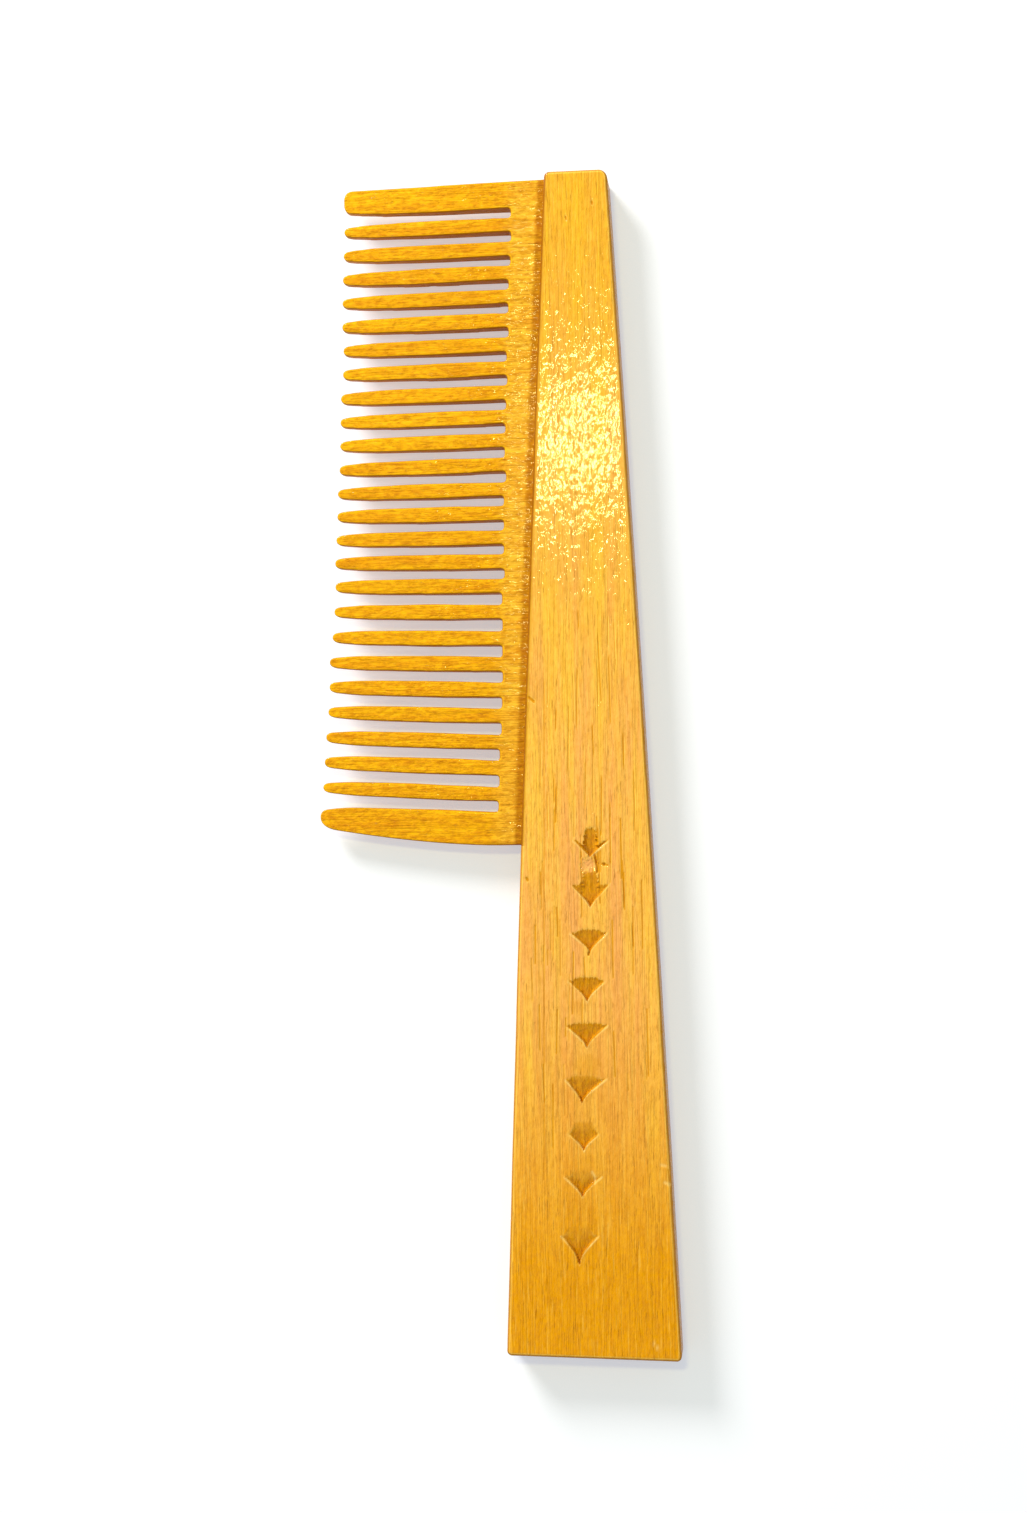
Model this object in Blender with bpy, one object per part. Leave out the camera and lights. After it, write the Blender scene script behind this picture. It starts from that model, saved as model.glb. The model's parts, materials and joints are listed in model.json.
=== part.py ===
"""Wide-tooth hair comb with a long flat handle, all in wood.

A tapered handle bar has a groove sawn along one narrow edge. A flat blade with its grain
running along the teeth is glued into that groove by its spine. The blade is two boards,
glued edge to edge at mid length. The comb lies on its back: +Y runs up the handle to the
head end, the teeth point to -X, and +Z is the thickness.
"""

import math
import random

import bmesh
import bpy
from mathutils import Matrix, Vector

MM = 0.001
OBJECT_NAME = "wide_tooth_comb"
FIT_GAP = 0.3 * MM

# Handle bar. Its half width grows evenly from the head end to the butt, with a slight camber.
HANDLE_LENGTH = 228.6 * MM
HANDLE_THICKNESS = 9.0 * MM
HEAD_HALF_WIDTH = 6.15 * MM
BUTT_HALF_WIDTH = 16.65 * MM
SIDE_CAMBER = 0.4 * MM
SIDE_STEPS = 8
HANDLE_EDGE_ROUND = 0.7 * MM
HEAD_CORNER_ROUND = 1.7 * MM
SMALL_CORNER_ROUND = 1.0 * MM
BUTT_SKEW = math.radians(1.7)

# Blade: a spine with guard teeth at both ends and thin teeth between them.
THIN_TEETH = 24
HEAD_BOARD_TEETH = 13
SEAM_ABOVE_SLOT_MIDDLE = 0.25 * MM
FINE_PITCH_TEETH = 15
FINE_PITCH = 4.74 * MM
COARSE_PITCH = 5.06 * MM
FIRST_TOOTH_Y = 219.2 * MM
PITCH_LINE_X = -20.0 * MM
THIN_TOOTH_WIDTH = 2.8 * MM
STRAIGHT_TEETH = 11
FAN_STEP = math.radians(0.25)
ROOT_LINE = (-13.1 * MM, -17.1 * MM)
TIP_LINE = (-46.3 * MM, -52.5 * MM)
TIP_BOW = 1.0 * MM
TIP_TAPER_LENGTH = 6.0 * MM
TIP_ROUND = 0.75 * MM
SLOT_CORNER_ROUND = 0.35 * MM
PLANED_FROM_ROOT = 0.6 * MM
HEAD_GUARD_EDGE_Y = 227.9 * MM
HEAD_GUARD_Y = 225.2 * MM
HEAD_GUARD_WIDTH = 5.5 * MM
HEAD_GUARD_ROUND = 1.2 * MM
GUARD_TIP_PINCH = 0.5 * MM
BUTT_GUARD_EDGE_Y = 97.6 * MM
BUTT_GUARD_RISE = 2.6 * MM
BUTT_GUARD_Y = 101.2 * MM
BUTT_GUARD_WIDTH = 6.0 * MM
BUTT_GUARD_SLOPE = math.radians(2.8)
BUTT_GUARD_NOSE = 2.4 * MM
BUTT_GUARD_ROUND = 1.0 * MM
SWEEP_STEPS = 8
BLADE_THICKNESS = 3.6 * MM
TOOTH_TIP_THICKNESS = 1.8 * MM

# Small differences that sawing by hand leaves from tooth to tooth.
HAND_SEED = 7
HAND_SHIFT = 0.07 * MM
HAND_WIDTH = 0.10 * MM
HAND_ROOT = 0.25 * MM
HAND_TIP = 0.20 * MM

# Groove in the handle's left edge, the blade's tongue in it, and the glue at its bottom.
TONGUE_DEPTH = 4.5 * MM
GLUE_THICKNESS = 0.5 * MM

# Nine chip-carved notches down the grip: centre across, point along, width, drop of the
# point below the wings, and run of the sloping floor above the wings.
NOTCHES_MM = (
    (1.0, 95.2, 6.9, 3.4, 2.4),
    (0.7, 85.6, 7.3, 4.1, 2.6),
    (0.3, 77.0, 6.9, 3.4, 1.3),
    (-0.2, 67.8, 7.1, 3.8, 1.5),
    (-0.4, 58.9, 8.1, 4.2, 1.4),
    (-1.1, 48.8, 7.5, 4.6, 2.6),
    (-1.3, 39.6, 5.9, 3.5, 2.2),
    (-1.9, 30.9, 7.0, 3.5, 1.2),
    (-2.3, 18.8, 7.2, 5.2, 1.4),
)
NOTCH_DEPTH = 0.9 * MM

WOOD_HANDLE = ("varnished_maple_bar", (0.82, 0.42, 0.06, 1.0), 0.38)
WOOD_BLADE = ("varnished_maple_plate", (0.80, 0.40, 0.03, 1.0), 0.40)
DRY_GLUE = ("dried_wood_glue", (0.55, 0.30, 0.06, 1.0), 0.50)


def remove_old_objects():
    for old in list(bpy.data.objects):
        bpy.data.objects.remove(old, do_unlink=True)


def new_collection(name, hidden=False):
    collection = bpy.data.collections.new(name)
    bpy.context.scene.collection.children.link(collection)
    collection.hide_render = hidden
    return collection


def make_material(name, colour, roughness):
    material = bpy.data.materials.new(name)
    material.use_nodes = True
    shader = material.node_tree.nodes["Principled BSDF"]
    shader.inputs["Base Color"].default_value = colour
    shader.inputs["Roughness"].default_value = roughness
    shader.inputs["Metallic"].default_value = 0.0
    return material


def half_width(y):
    """Half the handle's width at a distance y above the butt."""
    t = y / HANDLE_LENGTH
    camber = SIDE_CAMBER * 4.0 * t * (1.0 - t)
    return BUTT_HALF_WIDTH + (HEAD_HALF_WIDTH - BUTT_HALF_WIDTH) * t + camber


def rounded_corner(before, corner, after, radius, steps=3):
    """Points of an arc that replaces a corner between two straight stretches."""
    before, corner, after = Vector(before), Vector(corner), Vector(after)
    way_in = (before - corner).normalized()
    way_out = (after - corner).normalized()
    half_angle = way_in.angle(way_out) / 2.0
    centre = corner + (way_in + way_out).normalized() * radius / math.sin(half_angle)
    first = corner + way_in * radius / math.tan(half_angle) - centre
    sweep = math.pi - 2.0 * half_angle
    if way_in.x * way_out.y - way_in.y * way_out.x > 0.0:
        sweep = -sweep
    turns = [Matrix.Rotation(sweep * step / steps, 2) for step in range(steps + 1)]
    return [tuple(centre + turn @ first) for turn in turns]


def plate_from_outline(name, outline, low, high, edge_round=0.0):
    """A flat plate between two heights, from a filled curve made into a mesh."""
    curve = bpy.data.curves.new(name, "CURVE")
    curve.dimensions = "2D"
    curve.fill_mode = "BOTH"
    curve.extrude = (high - low) / 2.0 - edge_round
    curve.bevel_depth = edge_round
    curve.bevel_resolution = 1
    curve.offset = -edge_round
    spline = curve.splines.new("POLY")
    spline.points.add(len(outline) - 1)
    for point, (x, y) in zip(spline.points, outline):
        point.co = (x, y, 0.0, 1.0)
    spline.use_cyclic_u = True
    guide = bpy.data.objects.new(name + "_outline", curve)
    bpy.context.scene.collection.objects.link(guide)
    evaluated = guide.evaluated_get(bpy.context.evaluated_depsgraph_get())
    mesh = bpy.data.meshes.new_from_object(evaluated)
    mesh.name = name
    bpy.data.objects.remove(guide, do_unlink=True)
    work = bmesh.new()
    work.from_mesh(mesh)
    bmesh.ops.remove_doubles(work, verts=work.verts, dist=0.001 * MM)
    bmesh.ops.translate(work, verts=work.verts, vec=(0.0, 0.0, (low + high) / 2.0))
    bmesh.ops.dissolve_limit(
        work, angle_limit=0.0001, verts=work.verts, edges=work.edges
    )
    bmesh.ops.recalc_face_normals(work, faces=work.faces)
    work.to_mesh(mesh)
    work.free()
    return bpy.data.objects.new(name, mesh)


def box(name, size, place):
    """A block of the given size, its middle carried by a matrix."""
    work = bmesh.new()
    bmesh.ops.create_cube(work, size=1.0, matrix=place @ Matrix.Diagonal((*size, 1.0)))
    mesh = bpy.data.meshes.new(name)
    work.to_mesh(mesh)
    work.free()
    return bpy.data.objects.new(name, mesh)


def hide_as_cutter(cutter, cutters):
    """Keeps a cutting shape with the other cutters, out of the render."""
    cutters.objects.link(cutter)
    cutter.hide_render = True
    cutter.display_type = "WIRE"


def cut(target, cutter):
    """Takes the cutter's shape out of the target with a Boolean modifier."""
    boolean = target.modifiers.new("cut_" + cutter.name, "BOOLEAN")
    boolean.operation = "DIFFERENCE"
    boolean.solver = "EXACT"
    boolean.object = cutter


def edge_frame():
    """Origin on the handle's left edge at the butt, +Y along that edge towards the head."""
    lean = math.atan2(BUTT_HALF_WIDTH - HEAD_HALF_WIDTH, HANDLE_LENGTH)
    foot = Vector((-BUTT_HALF_WIDTH, 0.0, HANDLE_THICKNESS / 2.0))
    return Matrix.Translation(foot) @ Matrix.Rotation(-lean, 4, "Z")


def handle_outline():
    """The bar seen from above: cambered sides, rounded head and a slightly skewed butt."""
    rise = BUTT_HALF_WIDTH * math.tan(BUTT_SKEW)
    butt_left = (-BUTT_HALF_WIDTH, rise)
    butt_right = (BUTT_HALF_WIDTH, -rise)
    head_left = (-HEAD_HALF_WIDTH, HANDLE_LENGTH)
    head_right = (HEAD_HALF_WIDTH, HANDLE_LENGTH)
    ys = [HANDLE_LENGTH * i / SIDE_STEPS for i in range(1, SIDE_STEPS)]
    right_side = [(half_width(y), y) for y in ys]
    left_side = [(-half_width(y), y) for y in reversed(ys)]
    return (
        rounded_corner(butt_left, butt_right, right_side[0], SMALL_CORNER_ROUND)
        + right_side
        + rounded_corner(right_side[-1], head_right, head_left, HEAD_CORNER_ROUND)
        + rounded_corner(head_right, head_left, left_side[0], SMALL_CORNER_ROUND)
        + left_side
        + rounded_corner(left_side[-1], butt_left, butt_right, SMALL_CORNER_ROUND)
    )


def groove_cutter():
    """The saw's path for the groove, from below the blade's end out through the head."""
    depth = TONGUE_DEPTH + GLUE_THICKNESS + 2.0 * FIT_GAP
    bottom = BUTT_GUARD_EDGE_Y - FIT_GAP
    top = HANDLE_LENGTH + 10.0 * MM
    clear = 5.0 * MM
    size = (depth + clear, top - bottom, BLADE_THICKNESS + 2.0 * FIT_GAP)
    middle = Vector(((depth - clear) / 2.0, (top + bottom) / 2.0, 0.0))
    return box("groove_cutter", size, edge_frame() @ Matrix.Translation(middle))


def notch_cutter(number, across, along, width, drop, run):
    """A swallow-tailed chip: deepest at its point, its floor rising towards the head."""
    wing = along + drop
    outline = [
        (across, along),
        (across + 0.14 * width, along + 0.42 * drop),
        (across + 0.50 * width, wing),
        (across + 0.22 * width, wing + 0.55 * run),
        (across, wing + run),
        (across - 0.24 * width, wing + 0.50 * run),
        (across - 0.50 * width, wing),
        (across - 0.14 * width, along + 0.42 * drop),
    ]
    outline = [(x * MM, y * MM) for x, y in outline]
    top = HANDLE_THICKNESS + 1.0 * MM
    chip = plate_from_outline(f"notch_cutter_{number}", outline, 0.0, top)
    for vertex in chip.data.vertices:
        if vertex.co.z < top / 2.0:
            slope = (vertex.co.y - along * MM) / ((drop + run) * MM)
            vertex.co.z = HANDLE_THICKNESS - NOTCH_DEPTH * (1.0 - slope) - 0.02 * MM
    return chip


def make_handle(parts, cutters):
    """The tapered bar with soft edges, the blade's groove and the carved notches."""
    outline = handle_outline()
    handle = plate_from_outline("handle", outline, 0.0, HANDLE_THICKNESS, HANDLE_EDGE_ROUND)
    parts.objects.link(handle)
    chips = [notch_cutter(number, *notch) for number, notch in enumerate(NOTCHES_MM, 1)]
    for cutter in [groove_cutter(), *chips]:
        hide_as_cutter(cutter, cutters)
        cut(handle, cutter)
    handle.data.materials.append(make_material(*WOOD_HANDLE))


def line_at(ends, y):
    """Where a line that runs beside the teeth, from head to butt, stands at height y."""
    span = FIRST_TOOTH_Y - BUTT_GUARD_EDGE_Y
    t = (FIRST_TOOTH_Y - y) / span
    return ends[0] + (ends[1] - ends[0]) * t


def tip_at(y):
    """The tooth tips' line, which bows slightly towards the handle."""
    t = (FIRST_TOOTH_Y - y) / (FIRST_TOOTH_Y - BUTT_GUARD_EDGE_Y)
    return line_at(TIP_LINE, y) + TIP_BOW * 4.0 * t * (1.0 - t)


def guard_teeth():
    """The broad teeth that close the row at the head end and at the butt end."""
    head = {"y": HEAD_GUARD_Y, "slope": 0.0, "half": HEAD_GUARD_WIDTH / 2.0}
    butt = {"y": BUTT_GUARD_Y, "slope": math.tan(BUTT_GUARD_SLOPE)}
    butt["half"] = BUTT_GUARD_WIDTH / 2.0
    for guard in (head, butt):
        guard["tip"] = tip_at(guard["y"])
    return head, butt


def thin_teeth(hand):
    """Centre lines and sizes of the thin teeth, from the head end to the butt end."""
    teeth = []
    y = FIRST_TOOTH_Y
    for index in range(THIN_TEETH):
        fan = FAN_STEP * max(0, index + 1 - STRAIGHT_TEETH)
        middle = y + hand.uniform(-HAND_SHIFT, HAND_SHIFT)
        tooth = {"y": middle, "slope": math.tan(fan)}
        tooth["half"] = (THIN_TOOTH_WIDTH + hand.uniform(-HAND_WIDTH, HAND_WIDTH)) / 2.0
        tooth["tip"] = tip_at(middle) + hand.uniform(-HAND_TIP, HAND_TIP)
        teeth.append(tooth)
        y -= FINE_PITCH if index < FINE_PITCH_TEETH else COARSE_PITCH
    return teeth


def all_teeth():
    """Every tooth from head to butt, each with the root of the slot above it."""
    hand = random.Random(HAND_SEED)
    head, butt = guard_teeth()
    teeth = [head, *thin_teeth(hand), butt]
    for tooth in teeth[1:]:
        tooth["root"] = line_at(ROOT_LINE, tooth["y"]) + hand.uniform(-HAND_ROOT, HAND_ROOT)
    return teeth


def edge_y(tooth, x, side):
    """Height of a tooth's upper (side 1) or lower (side -1) edge at x."""
    return tooth["y"] + (PITCH_LINE_X - x) * tooth["slope"] + side * tooth["half"]


def tooth_tip(tooth):
    """The tapered, rounded end of a thin tooth, from its upper to its lower edge."""
    shoulder = tooth["tip"] + TIP_TAPER_LENGTH
    upper = (shoulder, edge_y(tooth, shoulder, 1))
    lower = (shoulder, edge_y(tooth, shoulder, -1))
    middle = (tooth["tip"], edge_y(tooth, tooth["tip"], 0))
    cheek = 0.45 * THIN_TOOTH_WIDTH / 2.0 + TIP_ROUND / 2.0
    nose_up = (middle[0], middle[1] + cheek)
    nose_down = (middle[0], middle[1] - cheek)
    return (
        [upper]
        + rounded_corner(upper, nose_up, nose_down, TIP_ROUND)
        + rounded_corner(nose_up, nose_down, lower, TIP_ROUND)
        + [lower]
    )


def slot_corner(tooth, root, side):
    """The softened inner corner of a slot, on a tooth's upper (1) or lower (-1) edge."""
    corner = (root, edge_y(tooth, root, side))
    along = (root - FINE_PITCH, edge_y(tooth, root - FINE_PITCH, side))
    across = (root, corner[1] + side * FINE_PITCH)
    ends = (across, along) if side > 0 else (along, across)
    return rounded_corner(ends[0], corner, ends[1], SLOT_CORNER_ROUND)


def smooth_step(t):
    return t * t * (3.0 - 2.0 * t)


def tongue_x(y):
    """The tongue's inner edge, at an even depth in the handle's groove."""
    t = y / HANDLE_LENGTH
    return TONGUE_DEPTH - BUTT_HALF_WIDTH + (BUTT_HALF_WIDTH - HEAD_HALF_WIDTH) * t


def head_guard_outline(guard):
    """Outer edge and blunt tip of the broad tooth at the head end."""
    tip = guard["tip"]
    start = (tongue_x(HEAD_GUARD_EDGE_Y), HEAD_GUARD_EDGE_Y)
    outer = (tip, HEAD_GUARD_EDGE_Y - GUARD_TIP_PINCH)
    inner = (tip, edge_y(guard, tip, -1) + GUARD_TIP_PINCH)
    shoulder_x = tip + TIP_TAPER_LENGTH
    shoulder = (shoulder_x, edge_y(guard, shoulder_x, -1))
    return (
        [start]
        + rounded_corner(start, outer, inner, HEAD_GUARD_ROUND)
        + rounded_corner(outer, inner, shoulder, HEAD_GUARD_ROUND)
        + [shoulder]
    )


def butt_guard_outline(guard):
    """Tapering tip and swept outer edge of the broad tooth at the butt end."""
    tip = guard["tip"]
    shoulder_x = tip + 0.5 * TIP_TAPER_LENGTH
    shoulder = (shoulder_x, edge_y(guard, shoulder_x, 1))
    nose_y = edge_y(guard, tip, 1) - BUTT_GUARD_NOSE
    nose_up = (tip, nose_y + BUTT_GUARD_NOSE / 2.0)
    nose_down = (tip, nose_y - BUTT_GUARD_NOSE / 2.0)
    heel_x = tip + TIP_TAPER_LENGTH
    sweep = []
    for step in range(SWEEP_STEPS + 1):
        t = 1.0 - step / SWEEP_STEPS
        x = heel_x + (ROOT_LINE[1] - heel_x) * (1.0 - t)
        sweep.append((x, BUTT_GUARD_EDGE_Y + BUTT_GUARD_RISE * smooth_step(t)))
    return (
        [shoulder]
        + rounded_corner(shoulder, nose_up, nose_down, BUTT_GUARD_ROUND)
        + rounded_corner(nose_up, nose_down, sweep[0], BUTT_GUARD_ROUND)
        + sweep
        + [(tongue_x(BUTT_GUARD_EDGE_Y), BUTT_GUARD_EDGE_Y)]
    )


def slot_between(above, below):
    """The square end of the slot between two neighbouring teeth of one board."""
    return slot_corner(above, below["root"], -1) + slot_corner(below, below["root"], 1)


def seam_y(above, below):
    """Where the two boards meet, at the root of the slot between them."""
    root = below["root"]
    middle = (edge_y(above, root, -1) + edge_y(below, root, 1)) / 2.0
    return middle + SEAM_ABOVE_SLOT_MIDDLE


def head_board_outline(teeth):
    """The board at the head end: its guard tooth, thin teeth, seam edge and tongue."""
    own = teeth[:HEAD_BOARD_TEETH]
    outline = head_guard_outline(own[0])
    for above, below in zip(own, own[1:]):
        outline += slot_between(above, below) + tooth_tip(below)
    next_tooth = teeth[HEAD_BOARD_TEETH]
    root = next_tooth["root"]
    seam = seam_y(own[-1], next_tooth) + FIT_GAP / 2.0
    return outline + slot_corner(own[-1], root, -1) + [(root, seam), (tongue_x(seam), seam)]


def butt_board_outline(teeth):
    """The board at the butt end: its tongue, seam edge, thin teeth and guard tooth."""
    own = teeth[HEAD_BOARD_TEETH:]
    root = own[0]["root"]
    seam = seam_y(teeth[HEAD_BOARD_TEETH - 1], own[0]) - FIT_GAP / 2.0
    outline = [(tongue_x(seam), seam), (root, seam)]
    outline += slot_corner(own[0], root, 1) + tooth_tip(own[0])
    for above, below in zip(own, own[1:-1]):
        outline += slot_between(above, below) + tooth_tip(below)
    return outline + slot_between(own[-2], own[-1]) + butt_guard_outline(own[-1])


def planing_cutter(name, side):
    """A wedge of wood planed off one face, deeper towards the tips of the teeth."""
    lean = math.atan2(ROOT_LINE[0] - ROOT_LINE[1], FIRST_TOOTH_Y - BUTT_GUARD_EDGE_Y)
    middle_y = (FIRST_TOOTH_Y + BUTT_GUARD_EDGE_Y) / 2.0
    middle_x = line_at(ROOT_LINE, middle_y) - PLANED_FROM_ROOT
    tooth_length = line_at(ROOT_LINE, middle_y) - tip_at(middle_y)
    slope = math.atan2((BLADE_THICKNESS - TOOTH_TIP_THICKNESS) / 2.0, tooth_length)
    height = (HANDLE_THICKNESS + side * BLADE_THICKNESS) / 2.0
    place = Matrix.Translation((middle_x, middle_y, height))
    place @= Matrix.Rotation(-lean, 4, "Z") @ Matrix.Rotation(-side * slope, 4, "Y")
    size = Vector((2.0 * tooth_length, HANDLE_LENGTH, BLADE_THICKNESS))
    place @= Matrix.Translation((-size.x / 2.0, 0.0, side * size.z / 2.0))
    return box(name, size, place)


def make_blade(parts, cutters):
    """The two toothed boards, planed thinner towards the tips on both faces."""
    teeth = all_teeth()
    outlines = {
        "blade_head_board": head_board_outline(teeth),
        "blade_butt_board": butt_board_outline(teeth),
    }
    low = (HANDLE_THICKNESS - BLADE_THICKNESS) / 2.0
    wood = make_material(*WOOD_BLADE)
    front = planing_cutter("front_planing", 1)
    back = planing_cutter("back_planing", -1)
    for cutter in (front, back):
        hide_as_cutter(cutter, cutters)
    for name, outline in outlines.items():
        board = plate_from_outline(name, outline, low, low + BLADE_THICKNESS)
        parts.objects.link(board)
        cut(board, front)
        cut(board, back)
        board.data.materials.append(wood)


def make_glue_line(parts):
    """The strip of hardened glue between the tongue and the bottom of the groove."""
    bottom = BUTT_GUARD_EDGE_Y + FIT_GAP
    top = HEAD_GUARD_EDGE_Y - FIT_GAP
    size = (GLUE_THICKNESS, top - bottom, BLADE_THICKNESS)
    across = TONGUE_DEPTH + FIT_GAP + GLUE_THICKNESS / 2.0
    middle = Matrix.Translation((across, (top + bottom) / 2.0, 0.0))
    glue = box("glue_line", size, edge_frame() @ middle)
    parts.objects.link(glue)
    glue.data.materials.append(make_material(*DRY_GLUE))


def put_origin_under_middle(collections):
    """Moves everything so that the origin lies under the middle of the comb, at its back."""
    bpy.context.view_layer.update()
    graph = bpy.context.evaluated_depsgraph_get()
    corners = []
    for part in collections[0].objects:
        corners += [Vector(corner) for corner in part.evaluated_get(graph).bound_box]
    low = Vector([min(corner[axis] for corner in corners) for axis in range(3)])
    high = Vector([max(corner[axis] for corner in corners) for axis in range(3)])
    shift = Vector((-(low.x + high.x) / 2.0, -(low.y + high.y) / 2.0, -low.z))
    for collection in collections:
        for each in collection.objects:
            each.location += shift


def main():
    remove_old_objects()
    parts = new_collection(OBJECT_NAME)
    cutters = new_collection(OBJECT_NAME + "_cutters", hidden=True)
    make_handle(parts, cutters)
    make_blade(parts, cutters)
    make_glue_line(parts)
    put_origin_under_middle((parts, cutters))


main()
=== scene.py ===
"""Finished look of a hand-made wide-tooth comb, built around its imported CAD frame.

The comb lies on its back on a pale card: a tapered handle bar with nine chip-carved notches,
a thin toothed blade of two boards glued edge to edge, and the strip of glue in the groove
that holds the blade. Shapes are drawn in millimetres from the middle of the handle's butt,
+Y towards the head end and the teeth towards -X, and are then moved into the frame.
"""

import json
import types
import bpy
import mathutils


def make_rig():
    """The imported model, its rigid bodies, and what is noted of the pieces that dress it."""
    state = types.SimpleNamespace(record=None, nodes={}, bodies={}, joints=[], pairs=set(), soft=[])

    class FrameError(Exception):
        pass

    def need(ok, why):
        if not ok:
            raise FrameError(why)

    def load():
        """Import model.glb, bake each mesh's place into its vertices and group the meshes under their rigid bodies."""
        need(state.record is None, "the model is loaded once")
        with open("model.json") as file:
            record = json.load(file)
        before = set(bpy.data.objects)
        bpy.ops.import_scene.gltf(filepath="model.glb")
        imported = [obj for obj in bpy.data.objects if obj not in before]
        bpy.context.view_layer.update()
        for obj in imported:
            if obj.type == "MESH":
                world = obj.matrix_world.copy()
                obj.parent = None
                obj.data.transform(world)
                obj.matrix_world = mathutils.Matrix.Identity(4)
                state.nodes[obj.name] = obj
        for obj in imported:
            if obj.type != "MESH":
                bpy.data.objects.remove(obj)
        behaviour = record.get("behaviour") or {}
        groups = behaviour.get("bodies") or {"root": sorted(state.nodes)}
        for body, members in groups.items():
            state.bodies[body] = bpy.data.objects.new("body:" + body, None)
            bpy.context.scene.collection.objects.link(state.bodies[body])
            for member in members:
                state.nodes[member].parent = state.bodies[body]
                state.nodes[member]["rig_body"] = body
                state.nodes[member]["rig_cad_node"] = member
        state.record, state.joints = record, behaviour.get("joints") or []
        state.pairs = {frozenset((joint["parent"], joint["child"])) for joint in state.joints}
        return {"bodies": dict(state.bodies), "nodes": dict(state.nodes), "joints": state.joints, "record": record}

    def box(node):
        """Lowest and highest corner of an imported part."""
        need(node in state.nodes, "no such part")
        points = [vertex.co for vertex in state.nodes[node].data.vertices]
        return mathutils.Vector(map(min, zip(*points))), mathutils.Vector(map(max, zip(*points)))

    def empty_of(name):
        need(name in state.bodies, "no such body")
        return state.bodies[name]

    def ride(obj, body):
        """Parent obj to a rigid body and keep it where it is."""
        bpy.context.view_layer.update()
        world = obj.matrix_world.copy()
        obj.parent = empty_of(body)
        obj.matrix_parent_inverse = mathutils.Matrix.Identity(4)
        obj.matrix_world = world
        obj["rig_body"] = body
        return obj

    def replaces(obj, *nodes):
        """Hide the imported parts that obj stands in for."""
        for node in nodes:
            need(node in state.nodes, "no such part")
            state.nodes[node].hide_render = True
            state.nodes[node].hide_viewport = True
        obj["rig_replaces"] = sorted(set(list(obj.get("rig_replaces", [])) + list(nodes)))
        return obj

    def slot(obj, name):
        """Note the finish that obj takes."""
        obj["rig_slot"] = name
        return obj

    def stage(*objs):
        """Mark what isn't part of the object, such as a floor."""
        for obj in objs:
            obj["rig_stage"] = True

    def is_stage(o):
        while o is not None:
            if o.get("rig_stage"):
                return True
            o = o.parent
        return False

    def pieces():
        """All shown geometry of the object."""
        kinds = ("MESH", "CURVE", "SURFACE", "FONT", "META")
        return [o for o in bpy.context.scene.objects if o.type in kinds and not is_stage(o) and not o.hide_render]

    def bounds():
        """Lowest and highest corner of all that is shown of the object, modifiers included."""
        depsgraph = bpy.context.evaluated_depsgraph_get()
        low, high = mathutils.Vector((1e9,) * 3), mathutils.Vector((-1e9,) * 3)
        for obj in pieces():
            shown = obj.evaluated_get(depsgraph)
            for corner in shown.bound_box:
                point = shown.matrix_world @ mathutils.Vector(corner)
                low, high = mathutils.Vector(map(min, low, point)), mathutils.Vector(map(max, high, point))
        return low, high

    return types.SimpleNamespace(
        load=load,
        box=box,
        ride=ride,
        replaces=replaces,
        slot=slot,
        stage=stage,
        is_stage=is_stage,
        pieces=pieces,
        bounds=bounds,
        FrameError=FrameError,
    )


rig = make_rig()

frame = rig.load()

import json
import math
import random

import bmesh
import bpy
import numpy as np
from bpy.props import FloatProperty, FloatVectorProperty, PointerProperty
from mathutils import Matrix, Vector, noise

bl_info = {
    "name": "Wide-Tooth Comb",
    "version": (1, 0, 0),
    "blender": (4, 5, 0),
    "location": "View3D > Sidebar > Comb",
    "description": "Builds a varnished wooden comb and the card it is shown on",
    "category": "Add Mesh",
}

MM = 0.001
CAD_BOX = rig.bounds()
HANDLE_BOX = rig.box("handle")
BOARD_BOXES = (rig.box("blade_head_board"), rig.box("blade_butt_board"))
SIZE_FILE = "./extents.json"

HANDLE_LENGTH = 228.6
# Where the middle of the butt lies in the frame, from the handle's own box.
BENCH = Vector(
    (
        (HANDLE_BOX[0].x + HANDLE_BOX[1].x) / 2.0,
        HANDLE_BOX[1].y - HANDLE_LENGTH * MM,
        HANDLE_BOX[0].z,
    )
)

# Handle bar, in millimetres.
HEAD_HALF_WIDTH = 6.15
BUTT_HALF_WIDTH = 16.65
SIDE_CAMBER = 0.4
BUTT_SKEW = math.radians(1.7)
HEAD_CORNER_ROUND = 1.7
SMALL_CORNER_ROUND = 1.0
FACE_COLUMNS = 150
BACK_COLUMNS = 26
ARC_STEPS = 5
END_STEPS = 8
FACE_BELOW_BOX = 0.09
SIDE_UNEVEN = 0.06
EDGE_UNEVEN = 0.22
GROOVE_START = 97.35
GROOVE_WALL = 0.02
END_INSET = 0.02

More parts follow.
